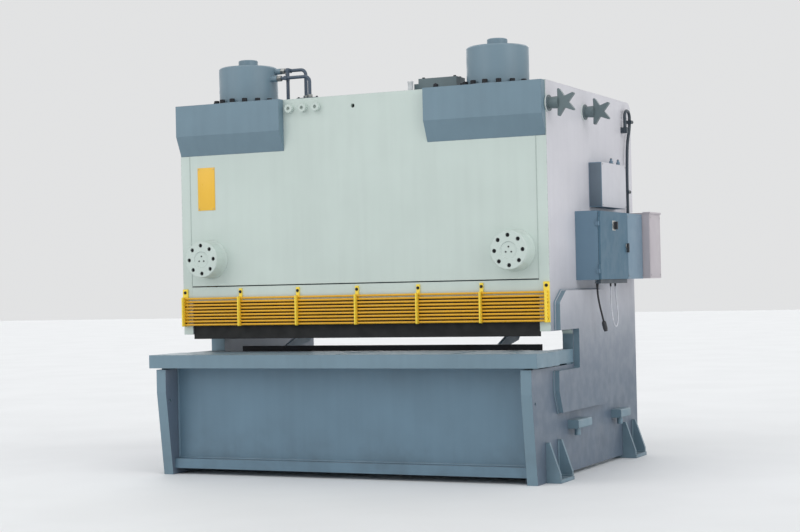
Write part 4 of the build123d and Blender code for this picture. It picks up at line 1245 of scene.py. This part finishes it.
@dataclass
class PowerPack(Assembly):
    """Tank, motor, pump and valves behind the ram."""

    finishes: Names = (
        ("bed_paint", "oil_tank", "tank_lid"),
        ("grey_green_paint", "bell_housing", "hydraulic_pump"),
        ("cleat_paint", "valve_blocks"),
        ("motor_paint", "pump_motor"),
        ("zinc_steel", "shaft_coupling"),
        ("black_steel", "tank_fittings"),
    )
    lid_bolt: Bolt = (0.0105, 0.008, 0.002)
    filter_bolt: Bolt = (0.008, 0.006, 0.0015)
    cover_bolt: Bolt = (0.0095, 0.008, 0.002)
    flange_bolt: Bolt = (0.011, 0.009, 0.002)
    level_bolt: Bolt = (0.0095, 0.007, 0.0015)
    box_screw: Screw = (0.006, 0.005, 16)
    pump_screw: Screw = (0.009, 0.009, 16)
    block_screw: Screw = (0.01, 0.01, 16)
    lid_top: float = 2.092
    motor_y: float = 0.41
    motor_z: float = 2.322
    motor_feet: Pair = (-0.54, -0.22)
    grille: tuple[float, ...] = (0.03, 0.056, 0.082, 0.108, 0.134, 0.158)
    grille_wire: float = 0.0022
    spoke_start: float = 0.018
    spoke_length: float = 0.148
    spoke_radius: float = 0.003
    fan_radius: float = 0.162
    eye_x: float = -0.56
    gland_x: float = -0.39
    box_screws: Pair = (-0.455, -0.325)
    box_half: float = 0.06
    flange_x: float = -0.09
    flange_circle: float = 0.163
    pump_x: float = 0.092
    pump_reach: float = 0.095
    block_height: float = 0.19
    valve_x: tuple[float, ...] = (0.43, 0.55, 0.67)
    valve_y: float = 0.15
    valve_rings: Pair = (0.044, 0.116)
    block_x: Pair = (0.368, 0.732)
    block_y: Pair = (0.078, 0.222)
    gauge_dy: float = 0.05
    gauge_height: float = 0.1
    gauge_x: float = 0.49
    gauge_case: tuple[Pair, ...] = (
        (0.0, -0.014), (0.031, -0.014), (0.034, -0.011), (0.034, 0.012), (0.031, 0.015),
        (0.0285, 0.015), (0.0285, 0.0095), (0.0, 0.0095),
    )
    filter_at: Pair = (-0.3, -0.02)
    breather_at: Pair = (-0.7, -0.02)
    cover_x: Pair = (-0.48, 0.3)
    cover_z: float = 1.825
    cover_circle: float = 0.163
    glass_x: Pair = (0.697, 0.723)
    glass_z: Pair = (1.701, 1.939)
    glass_bolts: tuple[float, ...] = (1.68, 1.96)

    @step
    def lid_bolts(self) -> None:
        """Bolt the lid down along its edges and the round covers to the rear wall."""
        tank = Span.of("oil_tank")
        rear = Span.of("tank_lid").high.y
        along = spaced(*tank.ends(0, 0.06), 9)
        places = seats(Z_AXIS, along, (tank.low.y + 0.006, rear - 0.018), (self.lid_top,))
        places += [
            turn_to(Z_AXIS, (x + dx, self.motor_y + dy, self.lid_top + 0.024))
            for x, dy, dx in product(self.motor_feet, (-0.15, 0.15), (-0.024, 0.024))
        ]
        shape = Shaper().stamp(hex_bolt(*self.lid_bolt), places)
        places = circle((*self.filter_at, self.lid_top + 0.018), Z_AXIS, 0.083, 6)
        shape.stamp(hex_bolt(*self.filter_bolt), places)
        for x in self.cover_x:
            places = circle((x, rear, self.cover_z), Y_AXIS, self.cover_circle, 12)
            shape.stamp(hex_bolt(*self.cover_bolt), places)
        shape.piece("tank_bolts", "zinc_steel")

    @step
    def fan_cover(self) -> None:
        """Lay the fan's grille over its opening."""
        end = Vector((Span.of("pump_motor").low.x, self.motor_y, self.motor_z))
        grille = Shaper()
        for radius in self.grille:
            grille.ring(radius, self.grille_wire, turn_to(-X_AXIS, end), 40)
        for angle in turns(8):
            spoke = Vector((0, math.cos(angle), math.sin(angle)))
            start, run = end + spoke * self.spoke_start, spoke * self.spoke_length
            grille.rod(start, run, self.spoke_radius, 8)
        grille.rod(end, (-0.004, 0, 0), 0.02, 24, 0.001).piece("fan_grille", "zinc_steel")
        # A thin black disc under the grille: painted shade inside the fan cowl.
        opening = Shaper().rod(end, (-0.0008, 0, 0), self.fan_radius, 40)
        opening.piece("fan_opening_shade", "black_steel")

    @step
    def motor_parts(self) -> None:
        """Give the motor its lifting eye, box screws, cable gland and flange bolts."""
        top, y = Span.of("pump_motor").high.z, self.motor_y
        fixings = Shaper().rod((self.eye_x, y, top - 0.064), (0, 0, 0.022), 0.021, 24, 0.003)
        fixings.ring(0.021, 0.0065, turn_to(Y_AXIS, (self.eye_x, y, top - 0.019)))
        corners = seats(Z_AXIS, self.box_screws, (y - self.box_half, y + self.box_half), (top,))
        fixings.stamp(cap_screw(*self.box_screw), corners)
        side, gland_z = y - 0.075, top - 0.045
        fixings.rod((self.gland_x, side, gland_z), (0, -0.012, 0), 0.021, 6, 0.001)
        fixings.rod((self.gland_x, side - 0.012, gland_z), (0, -0.014, 0), 0.017, 24, 0.003)
        middle = (self.flange_x, y, self.motor_z)
        flange = circle(middle, X_AXIS, self.flange_circle, 8, 22.5)
        fixings.stamp(hex_bolt(*self.flange_bolt), flange)
        across = (y - self.pump_reach, y + self.pump_reach)
        pump = seats(X_AXIS, (self.pump_x,), across, (self.motor_z,))
        fixings.stamp(cap_screw(*self.pump_screw), pump).piece("motor_fixings", "zinc_steel")

    @step
    def valve_parts(self) -> None:
        """Give the valves their plugs, the block its screws and the pressure gauge."""
        top, y = self.lid_top + self.block_height, self.valve_y
        plugs, rings = Shaper(), Shaper()
        for x in self.valve_x:
            low, high = (x - 0.014, y + 0.039, top + 0.062), (x + 0.014, y + 0.069, top + 0.092)
            plugs.block(low, high, 0.003)
            plugs.rod((x, y + 0.054, top + 0.092), (0, 0, 0.016), 0.0085, 20, 0.002)
            for height in self.valve_rings:
                rings.ring(0.0385, 0.0035, turn_to(Z_AXIS, (x, y, top + height)))
            rings.rod((x, y, top), (0, 0, 0.016), 0.036, 6, 0.002)
        plugs.piece("valve_plugs", "black_rubber")
        corners = seats(Z_AXIS, self.block_x, self.block_y, (top,))
        rings.stamp(cap_screw(*self.block_screw), corners)
        stem = (self.gauge_x, y + self.gauge_dy, top)
        rings.rod(stem, (0, 0, 0.07), 0.008, 16).rod(stem, (0, 0, 0.012), 0.013, 6, 0.001)
        case = (self.gauge_x, y + self.gauge_dy, top + self.gauge_height)
        rings.turned(self.gauge_case, turn_to(Y_AXIS, case))
        rings.piece("valve_rings", "zinc_steel")
        self.dial(Vector((self.gauge_x, y + 0.0597, top + self.gauge_height)))

    def dial(self, centre: Vector) -> None:
        """Print the gauge's scale as bare ticks under a pointer.

        Args:
            centre: Middle of the dial, which faces the rear.
        """
        plate = Y_AXIS * 0.001
        Shaper().rod(centre, plate, 0.0284, 40).piece("gauge_dial", "light_plastic")
        base = turn_to(Y_AXIS, centre + plate)
        scale = [math.radians(angle) for angle in spaced(-135, 135, 13)]
        tick = Shaper().block((-0.0005, 0.02, 0.0), (0.0005, 0.0255, 0.0004))
        pointer = Shaper().block((-0.0007, -0.006, 0.0006), (0.0007, 0.02, 0.0012))
        pointer.rod((0, 0, 0), (0, 0, 0.0018), 0.003, 16)
        marks = Shaper().stamp(tick, spun(base, scale)).stamp(pointer, spun(base, scale[:1]))
        marks.piece("gauge_marks", "dark_plastic")

    @step
    def tank_parts(self) -> None:
        """Finish the filter, the breather and the level glass."""
        x, y = self.filter_at
        trim = Shaper().rod((x, y, self.lid_top + 0.24), (0, 0, 0.016), 0.02, 6, 0.002)
        trim.ring(0.0845, 0.004, turn_to(Z_AXIS, (x, y, self.lid_top + 0.21)), 48)
        rib = Shaper().block((-0.0022, -0.002, 0.0), (0.0022, 0.0025, 0.044), 0.0012, 1)
        ribs = circle((*self.breather_at, self.lid_top + 0.05), Z_AXIS, 0.0465, 28)
        trim.stamp(rib, ribs).piece("tank_trim", "dark_plastic")
        rear = Span.of("tank_fittings").high.y
        (left, right), (bottom, top) = self.glass_x, self.glass_z
        glass = Shaper().block((left, rear - 0.0095, bottom), (right, rear - 0.002, top), 0.003, 3)
        glass.piece("level_glass", "oil_glass")
        places = seats(Y_AXIS, ((left + right) / 2,), (rear,), self.glass_bolts)
        Shaper().stamp(hex_bolt(*self.level_bolt), places).piece("level_bolts", "zinc_steel")


@dataclass
class BackGauge(Assembly):
    """Back gauge on its guide bars and screws."""

    finishes: Names = (
        ("ground_steel", "gauge_guide_bars"),
        ("motor_paint", "gauge_drive"),
        ("turned_steel", "cross_shaft"),
        ("bed_paint", "gauge_carriages"),
        ("black_steel", "gauge_bar"),
    )
    cover_screw: Screw = (0.006, 0.006, 16)
    screw_x: Pair = (-0.9, 0.9)
    motor_z: float = 1.4
    fin_y: float = 0.122
    box_y: float = 0.19
    box_dx: float = 0.038
    box_z: Pair = (1.30, 1.455)
    grille: tuple[float, ...] = (0.018, 0.034, 0.05)
    nut_y: float = 0.11
    nut_z: float = 1.312
    nut_dx: float = 0.047
    nut_rows: Pair = (-0.018, 0.088)
    arm_dx: float = 0.012
    nut_profile: tuple[Pair, ...] = (
        (0.0165, 0.0), (0.03, 0.0), (0.03, 0.006), (0.0275, 0.008), (0.0165, 0.008),
    )
    arm_y: float = -0.3405
    arm_seam: Pair = (0.889, 0.922)
    lead: float = 0.02
    starts: int = 4
    core: float = 0.0135
    crest: float = 0.016
    thread_steps: int = 12

    def lead_screw(self, side: str, x: float) -> None:
        """Cut a four-start thread that stands for a plain screw.

        Args:
            side: The screw's side, left or right.
            x: Its place across the machine.
        """
        node = f"lead_screw_{side}"
        screw = Span.of(node)
        z = screw.middle.z
        shape = Shaper()
        shape.rod((x, screw.low.y, z), (0, 2 * screw.half(1), 0), self.core + 0.0004, 24, 0.001)
        near = screw.low.y + 0.044
        count = int((screw.high.y - 0.03 - near) / self.lead) - 1
        pitch = self.lead / self.starts
        form = ((self.core, 0.0), (self.core, 0.34), (self.crest, 0.46), (self.crest, 0.88))
        profile = [(r, near + pitch * (i + k)) for i in range(self.starts) for r, k in form]
        profile.append((self.core, near + self.lead))
        verts = [shape.mesh.verts.new((x + radius, y, z)) for radius, y in profile]
        edges = [shape.mesh.edges.new(pair) for pair in zip(verts, verts[1:])]
        bmesh.ops.spin(
            shape.mesh, geom=verts + edges, cent=(x, 0, z), axis=(0, 1, 0),
            dvec=(0, self.lead / self.thread_steps, 0), angle=math.tau * count,
            steps=self.thread_steps * count, use_merge=False, use_duplicate=False,
        )
        bmesh.ops.remove_doubles(shape.mesh, verts=shape.mesh.verts[:], dist=2e-5)
        shape.piece(f"threaded_screw_{side}", "turned_steel", node, "machined_steel", [node], 1.2)

    @step
    def lead_screws(self) -> None:
        """Cut both lead screws."""
        for side, x in zip(("left", "right"), self.screw_x):
            self.lead_screw(side, x)

    @step
    def drive_parts(self) -> None:
        """Give the gearboxes their cover screws and the gear motor its grille and fins."""
        rear = Span.of("gauge_drive").high.y
        places = [
            turn_to(Y_AXIS, (x + sign * self.box_dx, rear - self.box_y, z))
            for x, sign, z in product(self.screw_x, SIDES, self.box_z)
        ]
        screws = Shaper().stamp(cap_screw(*self.cover_screw), places)
        hub = Vector((0, rear, self.motor_z))
        for radius in self.grille:
            screws.ring(radius, 0.0015, turn_to(Y_AXIS, hub), 28)
        for angle in turns(6):
            spoke = Vector((math.cos(angle), 0, math.sin(angle)))
            screws.rod(hub + spoke * 0.008, spoke * 0.05, 0.002, 8)
        screws.piece("drive_fixings", "zinc_steel")
        fin = Shaper().block((-0.0018, 0.058, -0.058), (0.0018, 0.0685, 0.058), 0.0008, 1)
        base = turn_to(Y_AXIS, (0, rear - self.fin_y, self.motor_z))
        Shaper().stamp(fin, spun(base, turns(24))).piece("drive_fins", "motor_paint")

    @step
    def nut_screws(self) -> None:
        """Screw the nuts into their blocks and weld the arms to the stop bar."""
        screws, seams = Shaper(), Shaper()
        for x in self.screw_x:
            screws.turned(self.nut_profile, turn_to(Y_AXIS, (x, self.nut_y, self.nut_z)))
            columns = (x - self.nut_dx, x + self.nut_dx)
            for dz in self.nut_rows:
                corners = seats(Y_AXIS, columns, (self.nut_y,), (self.nut_z + dz,))
                screws.stamp(cap_screw(*self.cover_screw), corners)
            for sign in SIDES:
                way = [(x + sign * self.arm_dx, self.arm_y, z) for z in self.arm_seam]
                seams.bead(way, 0.005)
        screws.piece("nut_screws", "zinc_steel", "back_gauge")
        seams.piece("arm_welds", "bed_paint", "back_gauge")


@dataclass
class Electrics(Assembly):
    """Control cabinet, boxes, conduit and fittings on the right side."""

    finishes: Names = (
        ("sheet_paint", "control_cabinet"),
        # The door's darker paint is painted shade on its outward face.
        ("shaded_door_paint", "cabinet_door"),
        ("dark_plastic", "door_latch", "main_switch", "cable_connector"),
        ("light_plastic", "switchgear_plate"),
        ("terminal_paint", "terminal_boxes"),
        ("lilac_paint", "power_box"),
        ("dark_blue_paint", "conduit"),
    )
    cover_screw: Screw = (0.0045, 0.0025, 14)
    saddle_screw: Screw = (0.0055, 0.004, 14)
    cover: float = 0.0018
    covers_at: tuple[tuple[str, str, float, Pair, Pair], ...] = (
        ("rear_box_cover", "terminal_paint", 1.684, (0.388, 0.754), (1.406, 1.880)),
        ("slim_box_cover", "lid_paint", 1.600, (0.0555, 0.6395), (1.9355, 2.2675)),
        ("power_box_cover", "lilac_paint", 1.740, (0.785, 1.056), (1.408, 1.884)),
    )
    saddles: tuple[Pair, ...] = ((0.9, 2.08), (1.002, 2.64))
    skirt_y: Pair = (-0.27, 0.36)
    skirt_z: Pair = (1.364, 1.3942)
    glands_at: tuple[Point, ...] = (
        (1.6, -0.104, 0.013), (1.59, 0.24, 0.009), (1.59, 0.35, 0.009),
    )
    gland_top: float = 1.391
    gland_collar: float = 1.376
    gland_mouth: float = 1.3665
    upper_nut: float = 2.269
    upper_mouth: float = 2.3115
    upper_glands: tuple[Pair, ...] = ((1.558, 0.42), (1.558, 0.59))
    gasket_x: float = 1.6858
    gasket_y: Pair = (-0.258, 0.348)
    gasket_z: Pair = (1.414, 1.872)
    door_face: float = 1.691
    switch_at: Pair = (0.04, 1.79)
    latch_at: Pair = (0.332, 1.643)
    latch_profile: tuple[Pair, ...] = (
        (0.0098, 0.0), (0.017, 0.0), (0.017, 0.003), (0.0145, 0.0055), (0.0098, 0.0055),
    )
    gear_x: float = 1.5868
    gear_rows: tuple[tuple[int, float], ...] = ((5, 1.5), (6, 1.64), (7, 1.77))
    gear_y: float = -0.215
    gear_width: float = 0.52
    gear_gap: float = 0.012
    toggle: float = 0.012
    toggle_proud: float = 0.0037
    terminal_y: tuple[float, ...] = (-0.02, 0.0, 0.02)
    terminal_z: Pair = (-0.032, 0.032)
    duct_x: Pair = (1.514, 1.556)
    duct_y: Pair = (-0.235, 0.325)
    duct_z: Pair = (1.57, 1.706)
    duct_half: float = 0.017
    ribs: int = 44
    rib_x: Pair = (1.555, 1.5575)
    rib_y: Pair = (-0.228, 0.318)
    rib_half: Pair = (0.0022, 0.0168)

    @step
    def covers(self) -> None:
        """Lay a screwed cover on the outer face of each closed box."""
        screws = Shaper()
        for name, paint, x, y, z in self.covers_at:
            low, high = (x - 0.0002, y[0], z[0]), (x + self.cover, y[1], z[1])
            Shaper().block(low, high, 0.0012).piece(name, paint, sharp=1.0)
            corners = seats(X_AXIS, (x + self.cover,), inset(y, 0.014), inset(z, 0.014))
            screws.stamp(cap_screw(*self.cover_screw), corners)
        for y, z in self.saddles:
            places = seats(X_AXIS, (1.552,), (y - 0.018, y + 0.018), (z,))
            screws.stamp(cap_screw(*self.saddle_screw), places)
        screws.piece("cover_screws", "zinc_steel")
        # The slim box's front strip is painted darker than its pale cover: painted shade.
        front = Shaper().block((1.506, 0.0532, 1.941), (1.594, 0.0552, 2.262), 0.0008)
        front.piece("slim_box_front", "shaded_sheet_paint", sharp=1.0)

    @step
    def skirt(self) -> None:
        """Hang a folded sheet skirt below the cabinet, in front of the glands; its dark paint is
        also painted shade under the cabinet.
        """
        (left, right), (low, high) = self.skirt_y, self.skirt_z
        sheet = Shaper()
        for start, end in (
            ((1.6805, left, low), (1.6825, right, high)),
            ((1.652, left, low), (1.6815, left + 0.002, high)),
            ((1.652, right - 0.002, low), (1.6815, right, high)),
            ((1.655, left + 0.001, low), (1.6815, right - 0.001, low + 0.002)),
        ):
            sheet.block(start, end, 0.0006, 1)
        sheet.piece("shaded_gland_skirt", "dark_blue_paint")

    @step
    def glands(self) -> None:
        """Put lock nuts on the glands and tapered reliefs where the cables leave."""
        nuts, relief = Shaper(), Shaper()
        for x, y, radius in self.glands_at:
            nuts.rod((x, y, self.gland_top), (0, 0, -0.008), radius * 1.45, 6, 0.001)
            nuts.rod((x, y, self.gland_collar), (0, 0, -0.01), radius * 1.3, 20, 0.001)
        for x, y in self.upper_glands:
            nuts.rod((x, y, self.upper_nut), (0, 0, 0.008), 0.021, 6, 0.001)
        nuts.piece("gland_nuts", "zinc_steel")
        cable, *wires = self.glands_at
        relief.rod((*cable[:2], self.gland_mouth), (0, 0, -0.0325), 0.0115, 24, 0.001, 0.0082)
        for x, y, _ in wires:
            relief.rod((x, y, self.gland_mouth), (0, 0, -0.0265), 0.0082, 20, 0.0008, 0.0056)
        for x, y in self.upper_glands:
            relief.rod((x, y, self.upper_mouth), (0, 0, 0.0065), 0.0075, 20, 0.001, 0.004)
        relief.piece("cable_reliefs", "black_rubber")

    @step
    def door_parts(self) -> None:
        """Fit the door's gasket, the switch's plate and collar, and the latch's collar."""
        (front, rear), (low, high) = self.gasket_y, self.gasket_z
        ways = ((front, low), (rear, low), (rear, high), (front, high))
        route = rounded([((self.gasket_x, y, z), 0.012) for y, z in ways], 4)
        Shaper().bead(route + route[:1], 0.0028).piece("door_gasket", "black_rubber", "door")
        face, (y, z), half = self.door_face, self.switch_at, 0.036
        low, high = (face - 0.0002, y - half, z - half), (face + 0.0009, y + half, z + half)
        Shaper().block(low, high, 0.0006).piece("switch_plate", "light_plastic", "door")
        ring = Shaper().ring(0.0305, 0.0018, turn_to(X_AXIS, (face + 0.0055, y, z)), 36)
        ring.piece("switch_collar", "zinc_steel", "switch")
        collar = Shaper().turned(self.latch_profile, turn_to(X_AXIS, (face, *self.latch_at)), 28)
        collar.piece("latch_collar", "zinc_steel", "door")

    @step
    def switchgear(self) -> None:
        """Fit toggles and terminal screws to the mounting plate's devices."""
        toggles, screws = Shaper(), Shaper()
        face, half = self.gear_x, self.toggle
        front = face + self.toggle_proud
        for count, z in self.gear_rows:
            pitch = self.gear_width / count
            for i in range(count):
                y = self.gear_y + pitch * i + (pitch - self.gear_gap) / 2
                toggles.block((face, y - half, z - half), (front, y + half, z + half), 0.0012)
                for dz, dy in product(self.terminal_z, self.terminal_y):
                    screws.rod((face, y + dy, z + dz), (0.0014, 0, 0), 0.0038, 14, 0.0004)
        toggles.piece("switch_toggles", "dark_plastic")
        screws.piece("terminal_screws", "zinc_steel")

    @step
    def wire_ducts(self) -> None:
        """Lay slotted wire ducts between the rows of devices."""
        ducts = Shaper()
        (back, front), (left, right), half = self.duct_x, self.duct_y, self.duct_half
        (foot, top), (dy, dz) = self.rib_x, self.rib_half
        for z in self.duct_z:
            ducts.block((back, left, z - half), (front, right, z + half), 0.001)
            for y in spaced(*self.rib_y, self.ribs):
                ducts.block((foot, y - dy, z - dz), (top, y + dy, z + dz))
        ducts.piece("wire_ducts", "pale_sheath")


@dataclass
class Cables(Assembly):
    """Cables that hang below the control cabinet."""

    cable_points: tuple[Point, ...] = (
        (1.600, -0.104, 1.364), (1.600, -0.104, 1.312), (1.603, -0.095, 1.254),
        (1.609, -0.078, 1.192), (1.616, -0.056, 1.132), (1.621, -0.040, 1.086),
    )
    loop_points: tuple[Point, ...] = (
        (1.590, 0.240, 1.364), (1.590, 0.240, 1.314), (1.592, 0.231, 1.256),
        (1.596, 0.224, 1.198), (1.600, 0.225, 1.142), (1.604, 0.237, 1.090),
        (1.606, 0.263, 1.049), (1.606, 0.306, 1.033), (1.604, 0.347, 1.056),
        (1.601, 0.369, 1.100), (1.597, 0.377, 1.154), (1.593, 0.371, 1.210),
        (1.591, 0.358, 1.264), (1.590, 0.350, 1.316), (1.590, 0.350, 1.364),
    )

    def line(
        self, name: str, points: Sequence[Point], radius: float, material: str, stands_for: str
    ) -> bpy.types.Object:
        """Draw a cable as one smooth curve.

        Args:
            name: The cable's name.
            points: Points of its route.
            radius: Its radius.
            material: Its finish.
            stands_for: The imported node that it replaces.

        Returns:
            The curve's object.
        """
        curve = draw_line(name, points, radius, "NURBS", 4)
        curve.resolution_u = 10
        curve.splines[0].order_u = 3
        curve.splines[0].use_endpoint_u = True
        curve.materials.append(finish(material))
        piece = bpy.data.objects.new(name, curve)
        bpy.context.scene.collection.objects.link(piece)
        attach(piece, BODY)
        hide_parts(stands_for)
        return piece

    @step
    def hang(self) -> None:
        """Hang the cable and the wire loop."""
        cable = self.line("supply_cable", self.cable_points, 0.007, "black_rubber", "hanging_cable")
        loop = self.line("sensor_wire", self.loop_points, 0.0045, "pale_sheath", "wire_loop")


@dataclass
class Studio(Assembly):
    """Floor, lamps, sky and camera."""

    eye: Point = (5.561, -11.935, 1.379)
    aim: Point = (0.12, -0.35, 1.53)
    roll: float = -1.27
    lens: float = 76.0
    floor_size: float = 60.0
    floor_drop: float = 0.0005
    daylight: Colour = (0.96, 0.98, 1.0)
    backdrop: Colour = (0.76, 0.765, 0.77)
    daylight_strength: float = 0.58
    lamp_spread: float = 60.0
    lamps_at: tuple[tuple[str, Point, float], ...] = (
        ("key_lamp", (-5.0, -9.0, 9.0), 0.85),
        ("side_lamp", (9.0, -3.0, 7.0), 0.95),
        ("rear_lamp", (-4.0, 9.0, 7.0), 0.7),
    )

    @step
    def floor(self) -> None:
        """Lay a wide pale floor."""
        mesh = bmesh.new()
        bmesh.ops.create_grid(mesh, x_segments=1, y_segments=1, size=self.floor_size)
        data = bpy.data.meshes.new("floor")
        mesh.to_mesh(data)
        mesh.free()
        surface = Surface("floor_paint")
        tone = surface.drift(0.9, 5, 0.965, 1.0)
        surface.coat(surface.mix(1.0, srgb(236, 237, 238), tone, "MULTIPLY"), 0.75)
        data.materials.append(surface.material)
        floor = bpy.data.objects.new("floor", data)
        floor.location = (0, 0, -self.floor_drop)
        bpy.context.scene.collection.objects.link(floor)

    @step
    def sky(self) -> None:
        """Show a pale backdrop to the camera and light the machine at a plain level."""
        world = bpy.data.worlds.new("studio")
        bpy.context.scene.world = world
        world.use_nodes = True
        graph = Graph(world.node_tree)
        rays = graph.add("LightPath").outputs
        shown = rays["Is Camera Ray"]
        for name in ("Is Glossy Ray", "Is Transmission Ray"):
            shown = graph.math("MAXIMUM", shown, rays[name])
        light = graph.add(
            "Background", {"Color": self.daylight, "Strength": self.daylight_strength}
        )
        back = graph.add("Background", {"Color": self.backdrop})
        mixed = graph.add("MixShader", {0: shown, 1: light.outputs[0], 2: back.outputs[0]})
        graph.add("OutputWorld", {0: mixed.outputs[0]})

    @step
    def lamps(self) -> None:
        """Add soft distant lamps that shine towards the machine."""
        for name, place, strength in self.lamps_at:
            data = bpy.data.lights.new(name, "SUN")
            data.energy = strength
            data.angle = math.radians(self.lamp_spread)
            lamp = bpy.data.objects.new(name, data)
            lamp.location = place
            way = Vector(self.aim) - Vector(place)
            lamp.rotation_euler = way.to_track_quat("-Z", "Y").to_euler()
            bpy.context.scene.collection.objects.link(lamp)

    @step
    def camera(self) -> None:
        """Stand the camera at the photograph's point of view, with a longer lens."""
        data = bpy.data.cameras.new("camera")
        data.lens = self.lens
        data.sensor_width = 36.0
        data.clip_end = 200.0
        camera = bpy.data.objects.new("camera", data)
        way = Vector(self.aim) - Vector(self.eye)
        look = way.to_track_quat("-Z", "Y").to_matrix().to_4x4()
        roll = Matrix.Rotation(math.radians(self.roll), 4, "Z")
        camera.matrix_world = Matrix.Translation(self.eye) @ look @ roll
        bpy.context.scene.collection.objects.link(camera)
        bpy.context.scene.camera = camera
        bpy.context.scene.view_settings.view_transform = "Standard"


def main() -> None:
    """Set the stage and dress the machine part by part."""
    logging.basicConfig(level=logging.INFO, format="%(message)s")
    for part in (
        Studio(), Cables(), Frame(), Welds(), Screws(), Cylinders(), Guard(), Cutting(),
        PowerPack(), BackGauge(), Electrics(),
    ):
        part.build()
        log.info("%s done", type(part).__name__)


if __name__ == "__main__":
    main()
